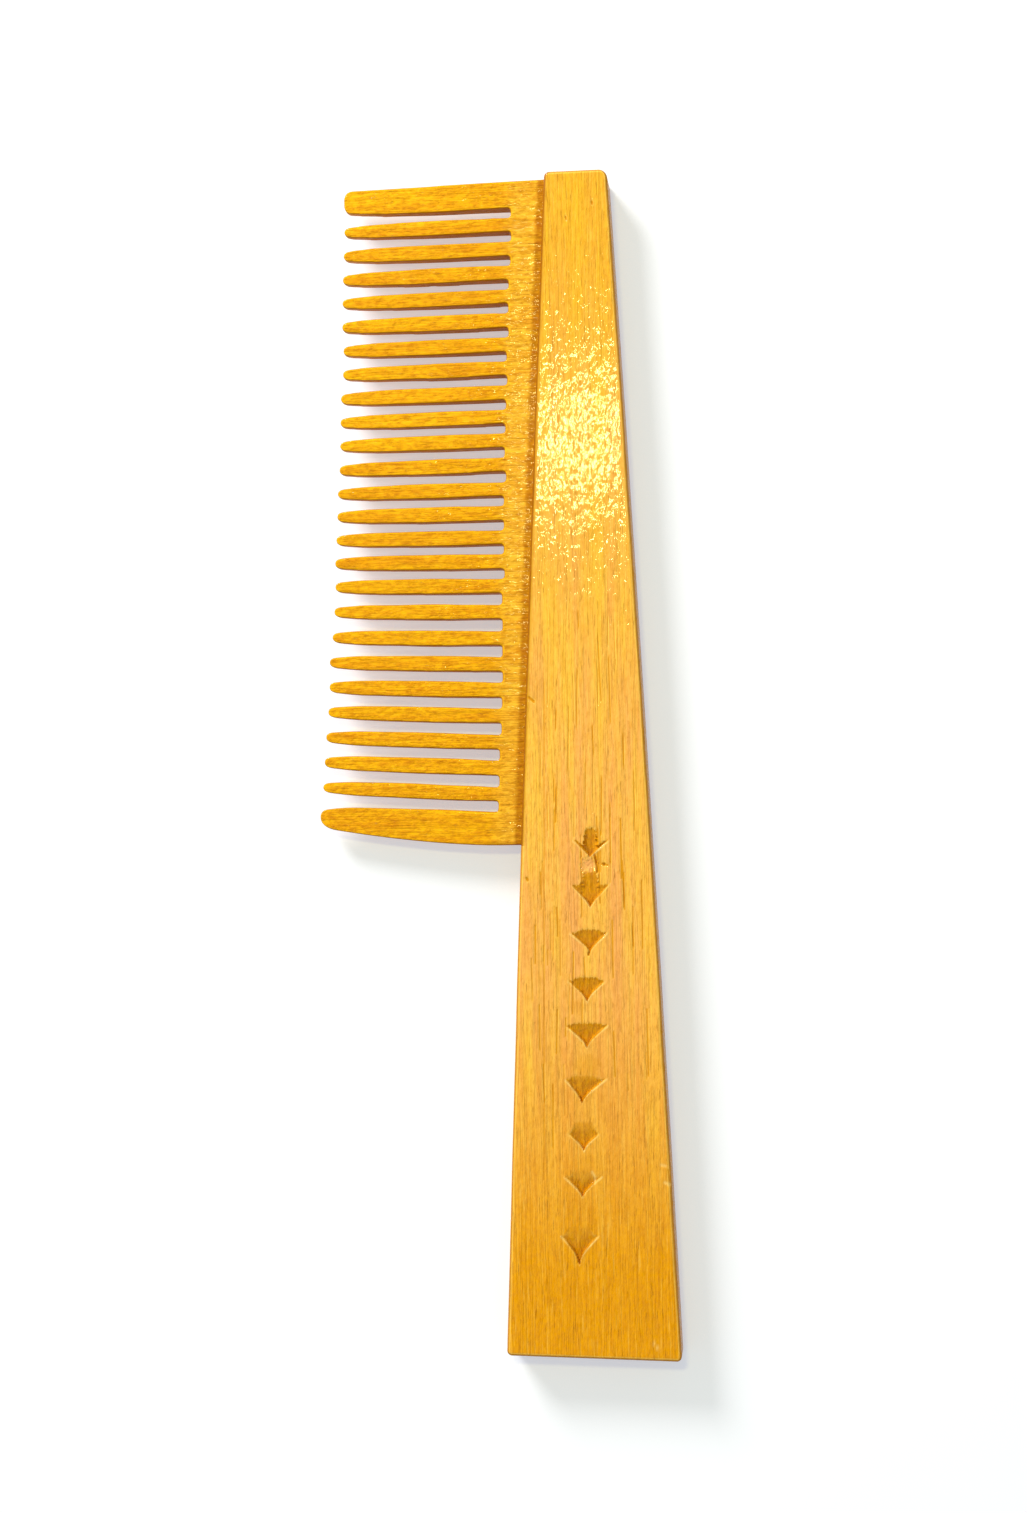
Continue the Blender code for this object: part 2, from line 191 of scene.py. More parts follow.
# Carved notches down the grip. Each is: middle across, point along, width over the wings,
# drop of the point below the wings, sideways lean of the point, height of the neck above the
# wings, half width of the neck, length of the tail at the point, breadth of the arms, and how
# faint the upper end is.
NOTCHES = (
    (1.05, 95.0, 6.8, 3.2, -0.3, 2.3, 1.25, 0.3, 0.65, 0.0),
    (0.70, 85.4, 7.4, 4.3, 0.0, 2.7, 1.50, 0.6, 2.6, 0.3),
    (0.30, 77.0, 7.1, 3.5, 0.2, 0.6, 2.30, 0.5, 4.5, 0.1),
    (-0.20, 67.4, 7.2, 4.0, 0.0, 0.6, 2.50, 0.9, 4.5, 0.1),
    (-0.40, 58.7, 8.1, 4.2, 0.0, 0.4, 3.20, 0.9, 4.5, 0.2),
    (-0.75, 48.1, 7.9, 4.7, -0.8, 0.6, 2.60, 1.1, 5.0, 0.5),
    (-1.25, 39.1, 6.3, 3.4, 0.0, 2.2, 2.30, 0.9, 4.5, 0.7),
    (-1.55, 30.4, 7.3, 4.0, -0.1, 1.1, 2.20, 0.8, 4.5, 0.8),
    (-2.30, 17.6, 7.2, 5.6, -0.2, 1.8, 2.60, 1.7, 5.0, 0.8),
)
WALL_WIDTH = 0.28
NECK_WITH_PRONGS = 2.25
BURR_WIDTH = 0.32
BURR_HEIGHT = 0.07
TORN_CHIP = (0.45, 93.6, 1.25, 1.35)
# Hurts from use: from x, y to x, y, width, depth, and tone from pale (-1) to dark (1).
DENTS = (
    (-10.5, 125.9, -9.6, 125.1, 0.35, 0.25, 0.8),
    (1.60, 95.8, 1.95, 94.0, 0.30, 0.40, 1.0),
    (1.95, 94.0, 2.15, 92.2, 0.26, 0.30, 1.0),
    (3.20, 93.7, 3.50, 93.6, 0.40, 0.25, 1.0),
    (3.50, 93.6, 4.20, 93.4, 0.26, 0.12, 0.6),
    (0.35, 76.9, 0.20, 76.4, 0.32, 0.30, 1.0),
    (11.4, 3.0, 12.4, 1.7, 0.35, 0.12, -0.7),
    (13.4, 36.5, 14.2, 36.3, 0.40, 0.14, -0.8),
    (14.0, 33.2, 14.9, 32.8, 0.45, 0.14, -0.9),
    (14.6, 35.6, 14.9, 33.4, 0.30, 0.10, 0.5),
    (0.2, 35.2, 0.7, 34.3, 0.35, 0.06, -0.9),
    (0.7, 34.3, 0.8, 33.0, 0.30, 0.06, -0.8),
    (3.15, 222.2, 3.25, 221.7, 0.35, 0.20, 0.7),
    (-2.0, 219.4, -1.85, 218.9, 0.30, 0.18, 0.6),
    (-7.55, 129.2, -9.0, 33.7, 0.24, 0.06, 0.38),
    (-11.5, 91.2, -11.3, 90.8, 0.40, 0.20, 0.7),
)
# Where varnish lay thick between the notches: middle, half sizes, and strength.
STAINS = (
    (-2.0, 66.5, 1.6, 1.6, 0.16),
    (-0.5, 55.2, 3.0, 2.2, 0.20),
    (-1.0, 36.4, 2.8, 2.4, 0.16),
    (-1.4, 26.8, 3.2, 3.2, 0.14),
)
# Drying checks: fine cracks along the grain of the grip.
CHECK_COUNT = 64
CHECK_SEED = 11
CHECK_DEPTH = 0.10

# Blade boards, in millimetres.
THIN_TEETH = 24
HEAD_BOARD_TEETH = 13
SEAM_ABOVE_SLOT_MIDDLE = 0.25
SEAM_GAP = 0.03
# Width of the band of painted shade, with some pooling varnish, along the joint.
POOL_AND_SHADE_WIDTH = 0.9
FINE_PITCH_TEETH = 15
FINE_PITCH = 4.74
COARSE_PITCH = 5.06
FIRST_TOOTH_Y = 219.2
PITCH_LINE_X = -20.0
STRAIGHT_TEETH = 11
FAN_STEP = math.radians(0.25)
ROOT_LINE = (-13.1, -17.1)
TIP_LINE = (-46.3, -52.5)
TIP_BOW = 1.0
TIP_POWER = 2.4
TIP_NOSE = 1.35
TIP_SHARE = 0.64
SLOT_CORNER_ROUND = 0.35
HEAD_GUARD_EDGE_Y = 227.9
HEAD_GUARD_Y = 225.2
HEAD_GUARD_WIDTH = 5.5
HEAD_GUARD_ROUND = 1.5
GUARD_TIP_PINCH = 0.5
BUTT_GUARD_EDGE_Y = 97.6
BUTT_GUARD_RISE = 4.0
BUTT_NOSE_DROP = 2.15
BUTT_NOSE_LENGTH = 3.2
SWEEP_POINTS = 26
BUTT_GUARD_Y = 101.2
BUTT_GUARD_WIDTH = 6.0
BUTT_GUARD_SLOPE = math.radians(2.8)
TONGUE_DEPTH = 4.5
SIDE_POINTS = 10
TIP_POINTS = 14
VOXEL = 0.27
SOFTENING = 6

# The same small differences from tooth to tooth as in the frame, and the file's own waves.
HAND_SEED = 7
HAND_SHIFT = 0.07
HAND_WIDTH = 0.10
HAND_ROOT = 0.25
HAND_TIP = 0.20
WAVE_LENGTH = 7.0
WAVE_HEIGHT = 0.09
FACE_WAVE_LENGTH = 4.0
FACE_WAVE_HEIGHT = 0.05

# Camera over the comb, leaning to the handle's side and a little towards the butt.
CAMERA_LEAN = math.radians(6.0)
CAMERA_TIP = math.radians(3.0)
CAMERA_ROLL = math.radians(-0.824)
CAMERA_AIM = (-13.67, 114.58, 9.0)
CAMERA_LENS = 55.63
# Point of the handle where the window-like light is mirrored towards the camera.
SHINE_POINT = (1.0, 176.0, 9.0)
# Place of the large soft light from the middle of the comb, in metres.
SOFTBOX = Vector((-0.56, 0.80, 0.56))
SOFTBOX_SIZE = (0.42, 0.42)
WINDOW_SIZE = (0.13, 0.06)
# How far the window hangs from the handle, and how far the card reaches, in metres.
WINDOW_DISTANCE = 0.9
CARD_REACH = 2.5
CARD_DROP = 0.05


def linear(code):
    """Linear colour of an sRGB hex value."""
    parts = [int(code[i : i + 2], 16) / 255.0 for i in (1, 3, 5)]
    low, knee, power = 12.92, 0.04045, 2.4
    return tuple(p / low if p <= knee else ((p + 0.055) / 1.055) ** power for p in parts)


class CombHandleSettings(bpy.types.PropertyGroup):
    """Sizes and colours of the handle bar."""

    head_half_width: FloatProperty(
        name="Head half width",
        description="Half the bar's width at the head end",
        default=HEAD_HALF_WIDTH * MM,
        unit="LENGTH",
        subtype="DISTANCE",
    )
    butt_half_width: FloatProperty(
        name="Butt half width",
        description="Half the bar's width at the butt",
        default=BUTT_HALF_WIDTH * MM,
        unit="LENGTH",
        subtype="DISTANCE",
    )
    thickness: FloatProperty(
        name="Thickness",
        description="Thickness of the bar",
        default=HANDLE_BOX[1].z - HANDLE_BOX[0].z,
        unit="LENGTH",
        subtype="DISTANCE",
    )
    edge_round: FloatProperty(
        name="Edge rounding",
        description="Radius of the bar's long edges",
        default=0.75 * MM,
        unit="LENGTH",
        subtype="DISTANCE",
    )
    groove_depth: FloatProperty(
        name="Groove depth",
        description="Depth of the groove that holds the blade",
        default=5.6 * MM,
        unit="LENGTH",
        subtype="DISTANCE",
    )
    groove_height: FloatProperty(
        name="Groove height",
        description="Height of the groove that holds the blade",
        default=3.9 * MM,
        unit="LENGTH",
        subtype="DISTANCE",
    )
    notch_depth: FloatProperty(
        name="Notch depth",
        description="Depth of the carved notches at their points",
        default=0.95 * MM,
        unit="LENGTH",
        subtype="DISTANCE",
    )
    wood_light: FloatVectorProperty(
        name="Light wood",
        description="Varnished wood where the grain is pale",
        subtype="COLOR",
        default=linear("#FFC64A"),
    )
    wood_dark: FloatVectorProperty(
        name="Dark wood",
        description="Varnished wood where the grain is dark",
        subtype="COLOR",
        default=linear("#F6B05C"),
    )
    butt_colour: FloatVectorProperty(
        name="Worn butt",
        description="Deeper amber where the hand has held the bar",
        subtype="COLOR",
        default=linear("#EDA400"),
    )
    head_colour: FloatVectorProperty(
        name="Head end",
        description="Clear amber at the head end",
        subtype="COLOR",
        default=linear("#EFB20C"),
    )


class CombBladeSettings(bpy.types.PropertyGroup):
    """Sizes and colours of the toothed boards."""

    thickness: FloatProperty(
        name="Thickness",
        description="Thickness of the boards at the spine",
        default=BOARD_BOXES[0][1].z - BOARD_BOXES[0][0].z,
        unit="LENGTH",
        subtype="DISTANCE",
    )
    tip_thickness: FloatProperty(
        name="Tip thickness",
        description="Thickness of the teeth at their tips",
        default=1.8 * MM,
        unit="LENGTH",
        subtype="DISTANCE",
    )
    tooth_width: FloatProperty(
        name="Tooth width",
        description="Width of a thin tooth at its root",
        default=2.8 * MM,
        unit="LENGTH",
        subtype="DISTANCE",
    )
    belly: FloatProperty(
        name="Tooth belly",
        description="How far each side of a tooth swells at mid length",
        default=0.12 * MM,
        unit="LENGTH",
        subtype="DISTANCE",
    )
    taper_length: FloatProperty(
        name="Taper length",
        description="Length over which a tooth narrows to its tip",
        default=8.0 * MM,
        unit="LENGTH",
        subtype="DISTANCE",
    )
    wood_light: FloatVectorProperty(
        name="Light wood",
        description="Varnished wood where the grain is pale",
        subtype="COLOR",
        default=linear("#FDBC04"),
    )
    wood_dark: FloatVectorProperty(
        name="Dark wood",
        description="Varnished wood where the grain is dark",
        subtype="COLOR",
        default=linear("#F2A602"),
    )
    spine_light: FloatVectorProperty(
        name="Light spine",
        description="Wood of the spine beside the handle, where it is pale",
        subtype="COLOR",
        default=linear("#FEC636"),
    )
    spine_dark: FloatVectorProperty(
        name="Dark spine",
        description="Wood of the spine beside the handle, where it is dark",
        subtype="COLOR",
        default=linear("#F7B428"),
    )


class CombStageSettings(bpy.types.PropertyGroup):
    """Table, lights and camera distance."""

    camera_distance: FloatProperty(
        name="Camera distance",
        description="Distance from the camera to the middle of the comb",
        default=0.45,
        unit="LENGTH",
        subtype="DISTANCE",
    )
    sky_strength: FloatProperty(
        name="Room light",
        description="Strength of the even light all round",
        default=0.42,
    )
    window_power: FloatProperty(
        name="Window light",
        description="Power of the small light that is mirrored in the handle",
        default=2.0,
        unit="POWER",
    )
    window_colour: FloatVectorProperty(
        name="Window colour",
        description="Low yellow sun through the window",
        subtype="COLOR",
        default=linear("#FFF8A0"),
    )
    softbox_power: FloatProperty(
        name="Softbox",
        description="Power of the large soft light beyond the head end and the teeth",
        default=14.2,
        unit="POWER",
    )
    card_glow: FloatProperty(
        name="Light table",
        description="How strongly the card under the comb is lit from below",
        default=0.47,
    )
    card_colour: FloatVectorProperty(
        name="Table",
        description="Colour of the pale card under the comb",
        subtype="COLOR",
        default=linear("#CECED0"),
    )


def add_node(tree, kind, inputs=None, out=0, **settings):
    """Adds a node with its settings and inputs, which are values or sockets; gives an output."""
    made = tree.nodes.new(kind)
    for name, value in settings.items():
        setattr(made, name, value)
    for socket, value in (inputs or {}).items():
        if isinstance(value, bpy.types.NodeSocket):
            tree.links.new(value, made.inputs[socket])
        else:
            made.inputs[socket].default_value = value
    return made.outputs[out]


def new_material(name):
    """An empty material with its surface shader, ready for a pattern."""
    material = bpy.data.materials.new(name)
    material.use_nodes = True
    return material, material.node_tree, material.node_tree.nodes["Principled BSDF"]


def rgba(colour):
    return (*colour, 1.0)


# Growth lines across one full swing of their noise.
GROWTH_LINES = 13.0
# Varnish on the bar and on the boards: coat weight, height of the ripples in mm, and how
# ragged the clouds in it are.
BAR_VARNISH = (0.30, 0.070, 0.38)
BOARD_VARNISH = (0.1, 0.120, 1.0)
# Patterns of the varnished wood: stretch along the grain, cells in each millimetre, detail and
# roughness of the noise.
WOOD_PATTERNS = {
    # Figure: soft bands about 3 mm wide and 40 mm long.
    "figure": (0.07, 0.32, 5.0, 0.55),
    # Varnish rubbed on by hand lies in ragged clouds about 1 mm across.
    "clouds": (0.50, 1.25, 6.0, 0.74),
    # Fibres 0.3 mm wide; the real ones are ten times finer.
    "fibres": (0.05, 3.2, 3.0, 0.55),
    # Growth lines: thin, long and wandering, a millimetre or two apart.
    "growth": (0.022, 0.55, 3.0, 0.60),
    # Vessels: dark strokes 0.2 mm wide and 2 to 5 mm long.
    "vessels": (0.055, 4.4, 2.0, 0.55),
    # Ripples of the dried varnish, 1 mm by 2 mm, and the waves that they ride on.
    "ripples": (0.50, 1.05, 2.0, 0.55),
    "waves": (0.45, 0.45, 1.0, 0.50),
    # Worn spots, 0.6 mm by 1.2 mm, where hardly any varnish is left on the wood.
    "wear": (0.50, 1.7, 2.0, 0.60),
}


def varnished_wood(name, along_y, tones, coat, ripple, ragged):
    """Maple under an amber varnish rubbed on by hand.

    To the eye: a warm gold ground with broad soft figure, short dark vessels along the
    grain, a rippled varnish with worn spots that breaks up a reflection into specks, and
    paler edges, where the varnish is rubbed thin and a painted highlight stands for the
    light that the rounded edges catch. Painted shade darkens the sides; painted shade
    with pooling varnish darkens the band along the joint, and painted shade with stain
    the carved floors.
    """
    material, tree, shader = new_material(name)
    light, dark, deep, pale = [rgba(tone) for tone in tones]
    place = add_node(tree, "ShaderNodeTexCoord", out="Object")
    place = add_node(tree, "ShaderNodeMapping", {"Vector": place, "Scale": (1.0 / MM,) * 3})
    pattern = {}
    for key, (stretch, per_mm, detail, rough) in WOOD_PATTERNS.items():
        scale = (1.0, stretch, 1.0) if along_y else (stretch, 1.0, 1.0)
        drawn = add_node(tree, "ShaderNodeMapping", {"Vector": place, "Scale": scale})
        drawn = {"Vector": drawn, "Scale": per_mm, "Detail": detail, "Roughness": rough}
        pattern[key] = add_node(tree, "ShaderNodeTexNoise", drawn, "Fac")
    for key in ("spine", "pool_and_joint_shade", "carved", "burr", "torn"):
        pattern[key] = add_node(tree, "ShaderNodeAttribute", out="Fac", attribute_name=key)
    growth = add_node(tree, "ShaderNodeMath", {0: pattern["growth"], 1: GROWTH_LINES}, operation="MULTIPLY")
    pattern["rings"] = add_node(tree, "ShaderNodeMath", {0: growth}, operation="FRACT")
    # How flat the surface lies: 1 on the faces, 0 on the sides. It places the painted highlight on the edges and the
    # painted shade on the sides.
    normal = add_node(tree, "ShaderNodeTexCoord", out="Normal")
    normal = add_node(tree, "ShaderNodeSeparateXYZ", {0: normal}, "Z")
    pattern["flat"] = add_node(tree, "ShaderNodeMath", {0: normal}, operation="ABSOLUTE")
    # Distance from the butt, made uneven so that no tone ends in a straight line.
    along = add_node(tree, "ShaderNodeSeparateXYZ", {0: place}, "Y")
    along = {0: pattern["figure"], 1: 40.0, 2: along}
    pattern["along"] = add_node(tree, "ShaderNodeMath", along, operation="MULTIPLY_ADD")

    butt = BENCH.y / MM
    # Each share comes from a pattern between two values, and runs from and to two strengths.
    shares = {
        "figure": ("figure", 0.36, 0.64, 0.0, 1.0),
        "head": ("along", butt + 130.0, butt + 235.0, 0.0, 0.75 if along_y else 0.0),
        "grip": ("along", butt + 88.0, butt + 38.0, 0.0, 1.0 if along_y else 0.0),
        "clouds": ("clouds", 0.43, 0.64, 0.0, ragged),
        "fibres": ("fibres", 0.50, 0.70, 0.0, 0.38),
        "pale_fibres": ("fibres", 0.44, 0.32, 0.0, 0.30),
        "rings": ("rings", 0.70, 1.00, 0.0, 0.38),
        "vessels": ("vessels", 0.64, 0.72, 0.0, 0.35),
        "pale_and_highlight": ("flat", 0.995, 0.965, 0.0, 0.6),
        "sides": ("flat", 0.96, 0.78, 0.0, 1.0),
        "pool_and_joint_shade": ("pool_and_joint_shade", 0.0, 1.0, 0.0, 1.0),
        "floor": ("carved", 0.03, 0.42, 0.0, 0.97),
        "point": ("carved", 0.60, 1.00, 0.0, 1.0),
        "burr": ("burr", 0.0, 1.0, 0.0, 0.75),
        "torn": ("torn", 0.0, 1.0, 0.0, 0.65),
        "floor_grain": ("fibres", 0.40, 0.62, 0.0, 1.0),
        "sheen": ("clouds", 0.30, 0.70, 0.42, 0.60),
        "coat": ("wear", 0.40, 0.51, 0.15 * coat, 1.35 * coat),
    }
    share = {}
    for key, (source, *span) in shares.items():
        span = {0: pattern[source], **{i + 1: value for i, value in enumerate(span)}}
        share[key] = add_node(tree, "ShaderNodeMapRange", span)

    paint = {"data_type": "RGBA", "out": 2}
    colour = add_node(tree, "ShaderNodeMix", {0: share["figure"], 6: dark, 7: light}, **paint)
    spine = add_node(tree, "ShaderNodeMix", {0: share["figure"], 6: deep, 7: pale}, **paint)
    floor = {0: share["floor_grain"], 6: rgba(linear("#E29A00")), 7: rgba(linear("#D08400"))}
    floor = add_node(tree, "ShaderNodeMix", floor, **paint)
    # A paler amber, for pale fibres and for the painted highlight on the rounded edges.
    pale_and_highlight = [min(1.0, c * k) for c, k in zip(light, (1.04, 1.12, 1.6, 1.0))]
    coats = [
        # The spine beside the joint is a little browner than the teeth.
        (pattern["spine"], spine, "MIX"),
        # Clear amber at the head end, and deeper amber at the butt, where the bar is held.
        (share["head"], pale, "MIX"),
        (share["grip"], deep, "MIX"),
        (share["clouds"], rgba((0.76, 0.60, 0.22)), "MULTIPLY"),
        (share["fibres"], rgba((0.82, 0.68, 0.42)), "MULTIPLY"),
        (share["pale_fibres"], rgba(pale_and_highlight[:3]), "MIX"),
        (share["rings"], rgba((0.72, 0.56, 0.28)), "MULTIPLY"),
        (share["vessels"], rgba((0.55, 0.38, 0.14)), "MULTIPLY"),
        # Paler edges: varnish rubbed thin, with a painted highlight where the rounded edges catch the light. The sides
        # are darkened with painted shade.
        (share["pale_and_highlight"], rgba(pale_and_highlight[:3]), "MIX"),
        # Painted shade on the side walls, strongest where the surface faces sideways.
        (share["sides"], rgba((0.60, 0.43, 0.07)), "MULTIPLY"),
        # Along the joint: painted shade, with some varnish pooling too. Carved floors: stain with painted shade. The
        # burr of a cut stays pale, partly as a painted highlight.
        (share["pool_and_joint_shade"], rgba((0.62, 0.49, 0.0)), "MULTIPLY"),
        (share["floor"], floor, "MIX"),
        # Darkest marks: the deepest parts of the carved floors, partly painted shade, and dark dents.
        (share["point"], rgba(linear("#AC6400")), "MIX"),
        # Pale burr rims and pale dents; on the burr rims the paleness is partly a painted highlight.
        (share["burr"], rgba(linear("#FFD880")), "MIX"),
        (share["torn"], rgba(linear("#F0A666")), "MIX"),
    ]
    for amount, tint, kind in coats:
        mixed = {0: amount, 6: colour, 7: tint}
        colour = add_node(tree, "ShaderNodeMix", mixed, blend_type=kind, **paint)

    # The wood has open vessels and raised grain; the varnish over it only ripples.
    grain, skin = pattern["fibres"], pattern["ripples"]
    for source, height in (("rings", -1.0), ("vessels", -1.8), ("clouds", 0.8)):
        grain = {0: share[source], 1: height, 2: grain}
        grain = add_node(tree, "ShaderNodeMath", grain, operation="MULTIPLY_ADD")
    for source, height in ((pattern["waves"], 0.7), (share["vessels"], -0.4)):
        skin = {0: source, 1: height, 2: skin}
        skin = add_node(tree, "ShaderNodeMath", skin, operation="MULTIPLY_ADD")
    grain = add_node(tree, "ShaderNodeBump", {"Height": grain, "Distance": 0.10 * MM})
    skin = add_node(tree, "ShaderNodeBump", {"Height": skin, "Distance": ripple * MM})

    shader.inputs["IOR"].default_value = 1.5
    shader.inputs["Specular IOR Level"].default_value = 0.07
    shader.inputs["Coat Roughness"].default_value = 0.06
    shader.inputs["Coat IOR"].default_value = 1.5
    tree.links.new(colour, shader.inputs["Base Color"])
    tree.links.new(share["sheen"], shader.inputs["Roughness"])
    tree.links.new(share["coat"], shader.inputs["Coat Weight"])
    tree.links.new(grain, shader.inputs["Normal"])
    tree.links.new(skin, shader.inputs["Coat Normal"])
    return material


def dried_wood_glue():
    """Hardened wood glue: a yellow-brown, faintly translucent strip with a skin of bubbles."""
    material, tree, shader = new_material("dried_wood_glue")
    place = add_node(tree, "ShaderNodeTexCoord", out="Object")
    # Bubbles about 0.6 mm across.
    skin = {"Vector": place, "Scale": 1.6 / MM, "Detail": 2.0}
    bubbles = add_node(tree, "ShaderNodeTexNoise", skin, "Fac")
    tones = {0: bubbles, 6: rgba(linear("#B07A2C")), 7: rgba(linear("#D9A650"))}
    colour = add_node(tree, "ShaderNodeMix", tones, 2, data_type="RGBA")
    bump = add_node(tree, "ShaderNodeBump", {"Height": bubbles, "Distance": 0.05 * MM})
    gloss = add_node(tree, "ShaderNodeMapRange", {0: bubbles, 3: 0.3, 4: 0.5})
    tree.links.new(colour, shader.inputs["Base Color"])
    tree.links.new(bump, shader.inputs["Normal"])
    tree.links.new(gloss, shader.inputs["Roughness"])
    return material


def opal_acrylic(colour, glow):
    """Opal acrylic of a light table: even, matt and pale, lit softly from below."""
    material, tree, shader = new_material("opal_acrylic")
    place = add_node(tree, "ShaderNodeTexCoord", out="Object")
    # Faint clouds about 8 mm across; the sheet's own grain is too fine to show.
    cloudy = {"Vector": place, "Scale": 0.12 / MM, "Detail": 4.0}
    clouds = add_node(tree, "ShaderNodeTexNoise", cloudy, "Fac")
    tones = {0: clouds, 6: rgba([0.99 * c for c in colour]), 7: rgba(colour)}
    tint = add_node(tree, "ShaderNodeMix", tones, 2, data_type="RGBA")
    bump = add_node(tree, "ShaderNodeBump", {"Height": clouds, "Distance": 0.01 * MM})
    shader.inputs["Roughness"].default_value = 0.9
    shader.inputs["Emission Color"].default_value = rgba(linear("#E8F2FF"))
    shader.inputs["Emission Strength"].default_value = glow
    shader.inputs["Specular IOR Level"].default_value = 0.1
    tree.links.new(tint, shader.inputs["Base Color"])
    tree.links.new(bump, shader.inputs["Normal"])
    return material


def to_frame(point):
    """A point in millimetres on the bench, moved into the frame in metres."""
    return BENCH + Vector(point) * MM


def smooth_step(t):
    t = np.clip(t, 0.0, 1.0)
    return t * t * (3.0 - 2.0 * t)


def soft_wave(seed, position, length):
    """A smooth wave between -1 and 1 that never repeats, the same on every run."""
    return noise.noise(Vector((position / length, 7.31 * seed + 0.5, 1.7)))


# ---------------------------------------------------------------- handle


def half_width(settings, y):
    """Half the bar's width at y, in millimetres."""
    t = np.clip(y / HANDLE_LENGTH, 0.0, 1.0)
    head, butt = settings.head_half_width / MM, settings.butt_half_width / MM
    return butt + (head - butt) * t + SIDE_CAMBER * 4.0 * t * (1.0 - t)


def half_width_at_rest(y):
    """Half the bar's width at y as the comb was made, for marks that lie on its face."""
    return BUTT_HALF_WIDTH - (BUTT_HALF_WIDTH - HEAD_HALF_WIDTH) * y / HANDLE_LENGTH


def corner_inset(s, radius):
    """How far a rounded corner draws in at a distance s from the end."""
    d = np.clip(radius - s, 0.0, radius)
    return radius - np.sqrt(radius * radius - d * d)


def row_places():
    """Distances from the butt at which the bar's cross-sections stand."""
    arc = [1.0 - math.cos(math.pi / 2.0 * i / END_STEPS) for i in range(END_STEPS + 1)]
    butt = [HEAD_CORNER_ROUND * a for a in arc]
    head = [HANDLE_LENGTH - HEAD_CORNER_ROUND * a for a in reversed(arc)]
    rows = butt + list(np.arange(2.5, 15.0, 0.8)) + list(np.arange(15.0, 104.0, 0.26))
    rows += list(np.arange(104.0, 124.0, 1.0)) + list(np.arange(124.0, 127.5, 0.25))
    rows += list(np.arange(127.5, 217.0, 1.1)) + list(np.arange(217.0, 224.0, 0.3))
    rows += list(np.arange(224.0, 226.5, 0.8)) + head
    rows = [r for r in rows if abs(r - GROOVE_START) > 2.0 * GROOVE_WALL]
    return np.array(sorted(rows + [GROOVE_START - GROOVE_WALL, GROOVE_START + GROOVE_WALL]))


def notch_relief(notch, number, x, y):
    """Depth, darkness and burr (each 0 to 1) of one notch on a grid of points. The darkness is stain together with
    painted shade in the carved floor.

    The knife went straight down along two curved arms that meet in a point, and then
    sliced in from above, so the floor is deepest at the arms and rises towards the head.
    """
    middle, point, width, drop, lean, neck, neck_half, tail, breadth, faint = notch
    half = width / 2.0
    u = x - middle
    # The point leans to one side, so each arm has its own reach.
    reach = np.where(u > lean, half - lean, half + lean)
    share = np.clip(np.abs(u - lean) / reach, 0.0, 1.3)
    tail_share = tail / drop
    arm = point + drop * (tail_share * (1.0 - np.exp(-share * 8.0)) + (1.0 - tail_share) * share)
    rough = np.sin(u * 6.1 + number) * 0.10 + np.sin(u * 13.3 + 2.0 * number) * 0.11
    prongs = np.ones_like(y)
    if neck > NECK_WITH_PRONGS:
        prongs += 0.12 * np.sin(6.5 * y + number) + 0.11 * np.sin(10.7 * y + u + 2.3 * number)
    spread = np.exp(-((np.abs(u - 0.5 * lean) / (neck_half * prongs)) ** 8))
    line = point + drop + 0.3 * np.clip(1.0 - share, 0.0, 1.0) + rough
    top = np.minimum(line, arm + breadth)
    top = np.where(spread > 0.05, np.maximum(top, line * spread + top * (1.0 - spread)), top)
    top = top + neck * spread
    inside = smooth_step((y - arm) / WALL_WIDTH) * (share < 1.06) * (top > arm)
    rise = np.clip((top - y) / np.maximum(top - arm, 0.3), 0.0, 1.0)
    at_wings = 0.5 + 0.5 * np.exp(-((share / 0.55) ** 2))
    depth = inside * rise ** (0.7 + 1.1 * faint) * at_wings * np.clip(1.3 - share, 0.0, 1.0) ** 0.4
    crisp = smooth_step(rise / 0.12)
    # The floor's darkness: stain, with painted shade that grows with depth.
    floor_stain_and_shade = inside * (crisp * (1.0 - faint) + faint * rise) * 0.62
    floor_stain_and_shade = np.maximum(floor_stain_and_shade, inside * depth**2.2 * crisp)
    # Burr rim outside the arms: raised, and pale partly as a painted highlight of a rim catching light.
    outside = (arm - y) / BURR_WIDTH
    burr = np.exp(-((outside - 0.7) ** 2) * 2.2) * (outside > 0.0) * (share < 1.05)
    return depth, floor_stain_and_shade, burr * (0.6 + 0.4 * np.sin(number * 2.3 + u))


def dent_relief(dent, x, y):
    """Depth in millimetres of a short scratch or dent."""
    x0, y0, x1, y1, width, depth, _ = dent
    run = np.array((x1 - x0, y1 - y0))
    along = np.clip(((x - x0) * run[0] + (y - y0) * run[1]) / (run @ run + 1e-9), 0.0, 1.0)
    away = np.hypot(x - x0 - along * run[0], y - y0 - along * run[1])
    return depth * np.exp(-((away / (0.6 * width)) ** 2))


def drying_checks():
    """Fine cracks along the grain, thickest in the middle of the grip."""
    dice = random.Random(CHECK_SEED)
    checks = []
    for _ in range(CHECK_COUNT):
        y = dice.triangular(38.0, 150.0, 88.0)
        reach = half_width_at_rest(y) - 2.5
        x = dice.uniform(-reach, reach)
        length = dice.uniform(2.5, 13.0)
        lean = dice.uniform(-0.03, 0.03) - 0.02 * x / reach
        tone = dice.uniform(0.25, 0.62)
        checks.append((x, y, x + lean * length, y + length, 0.24, CHECK_DEPTH, tone))
    return checks


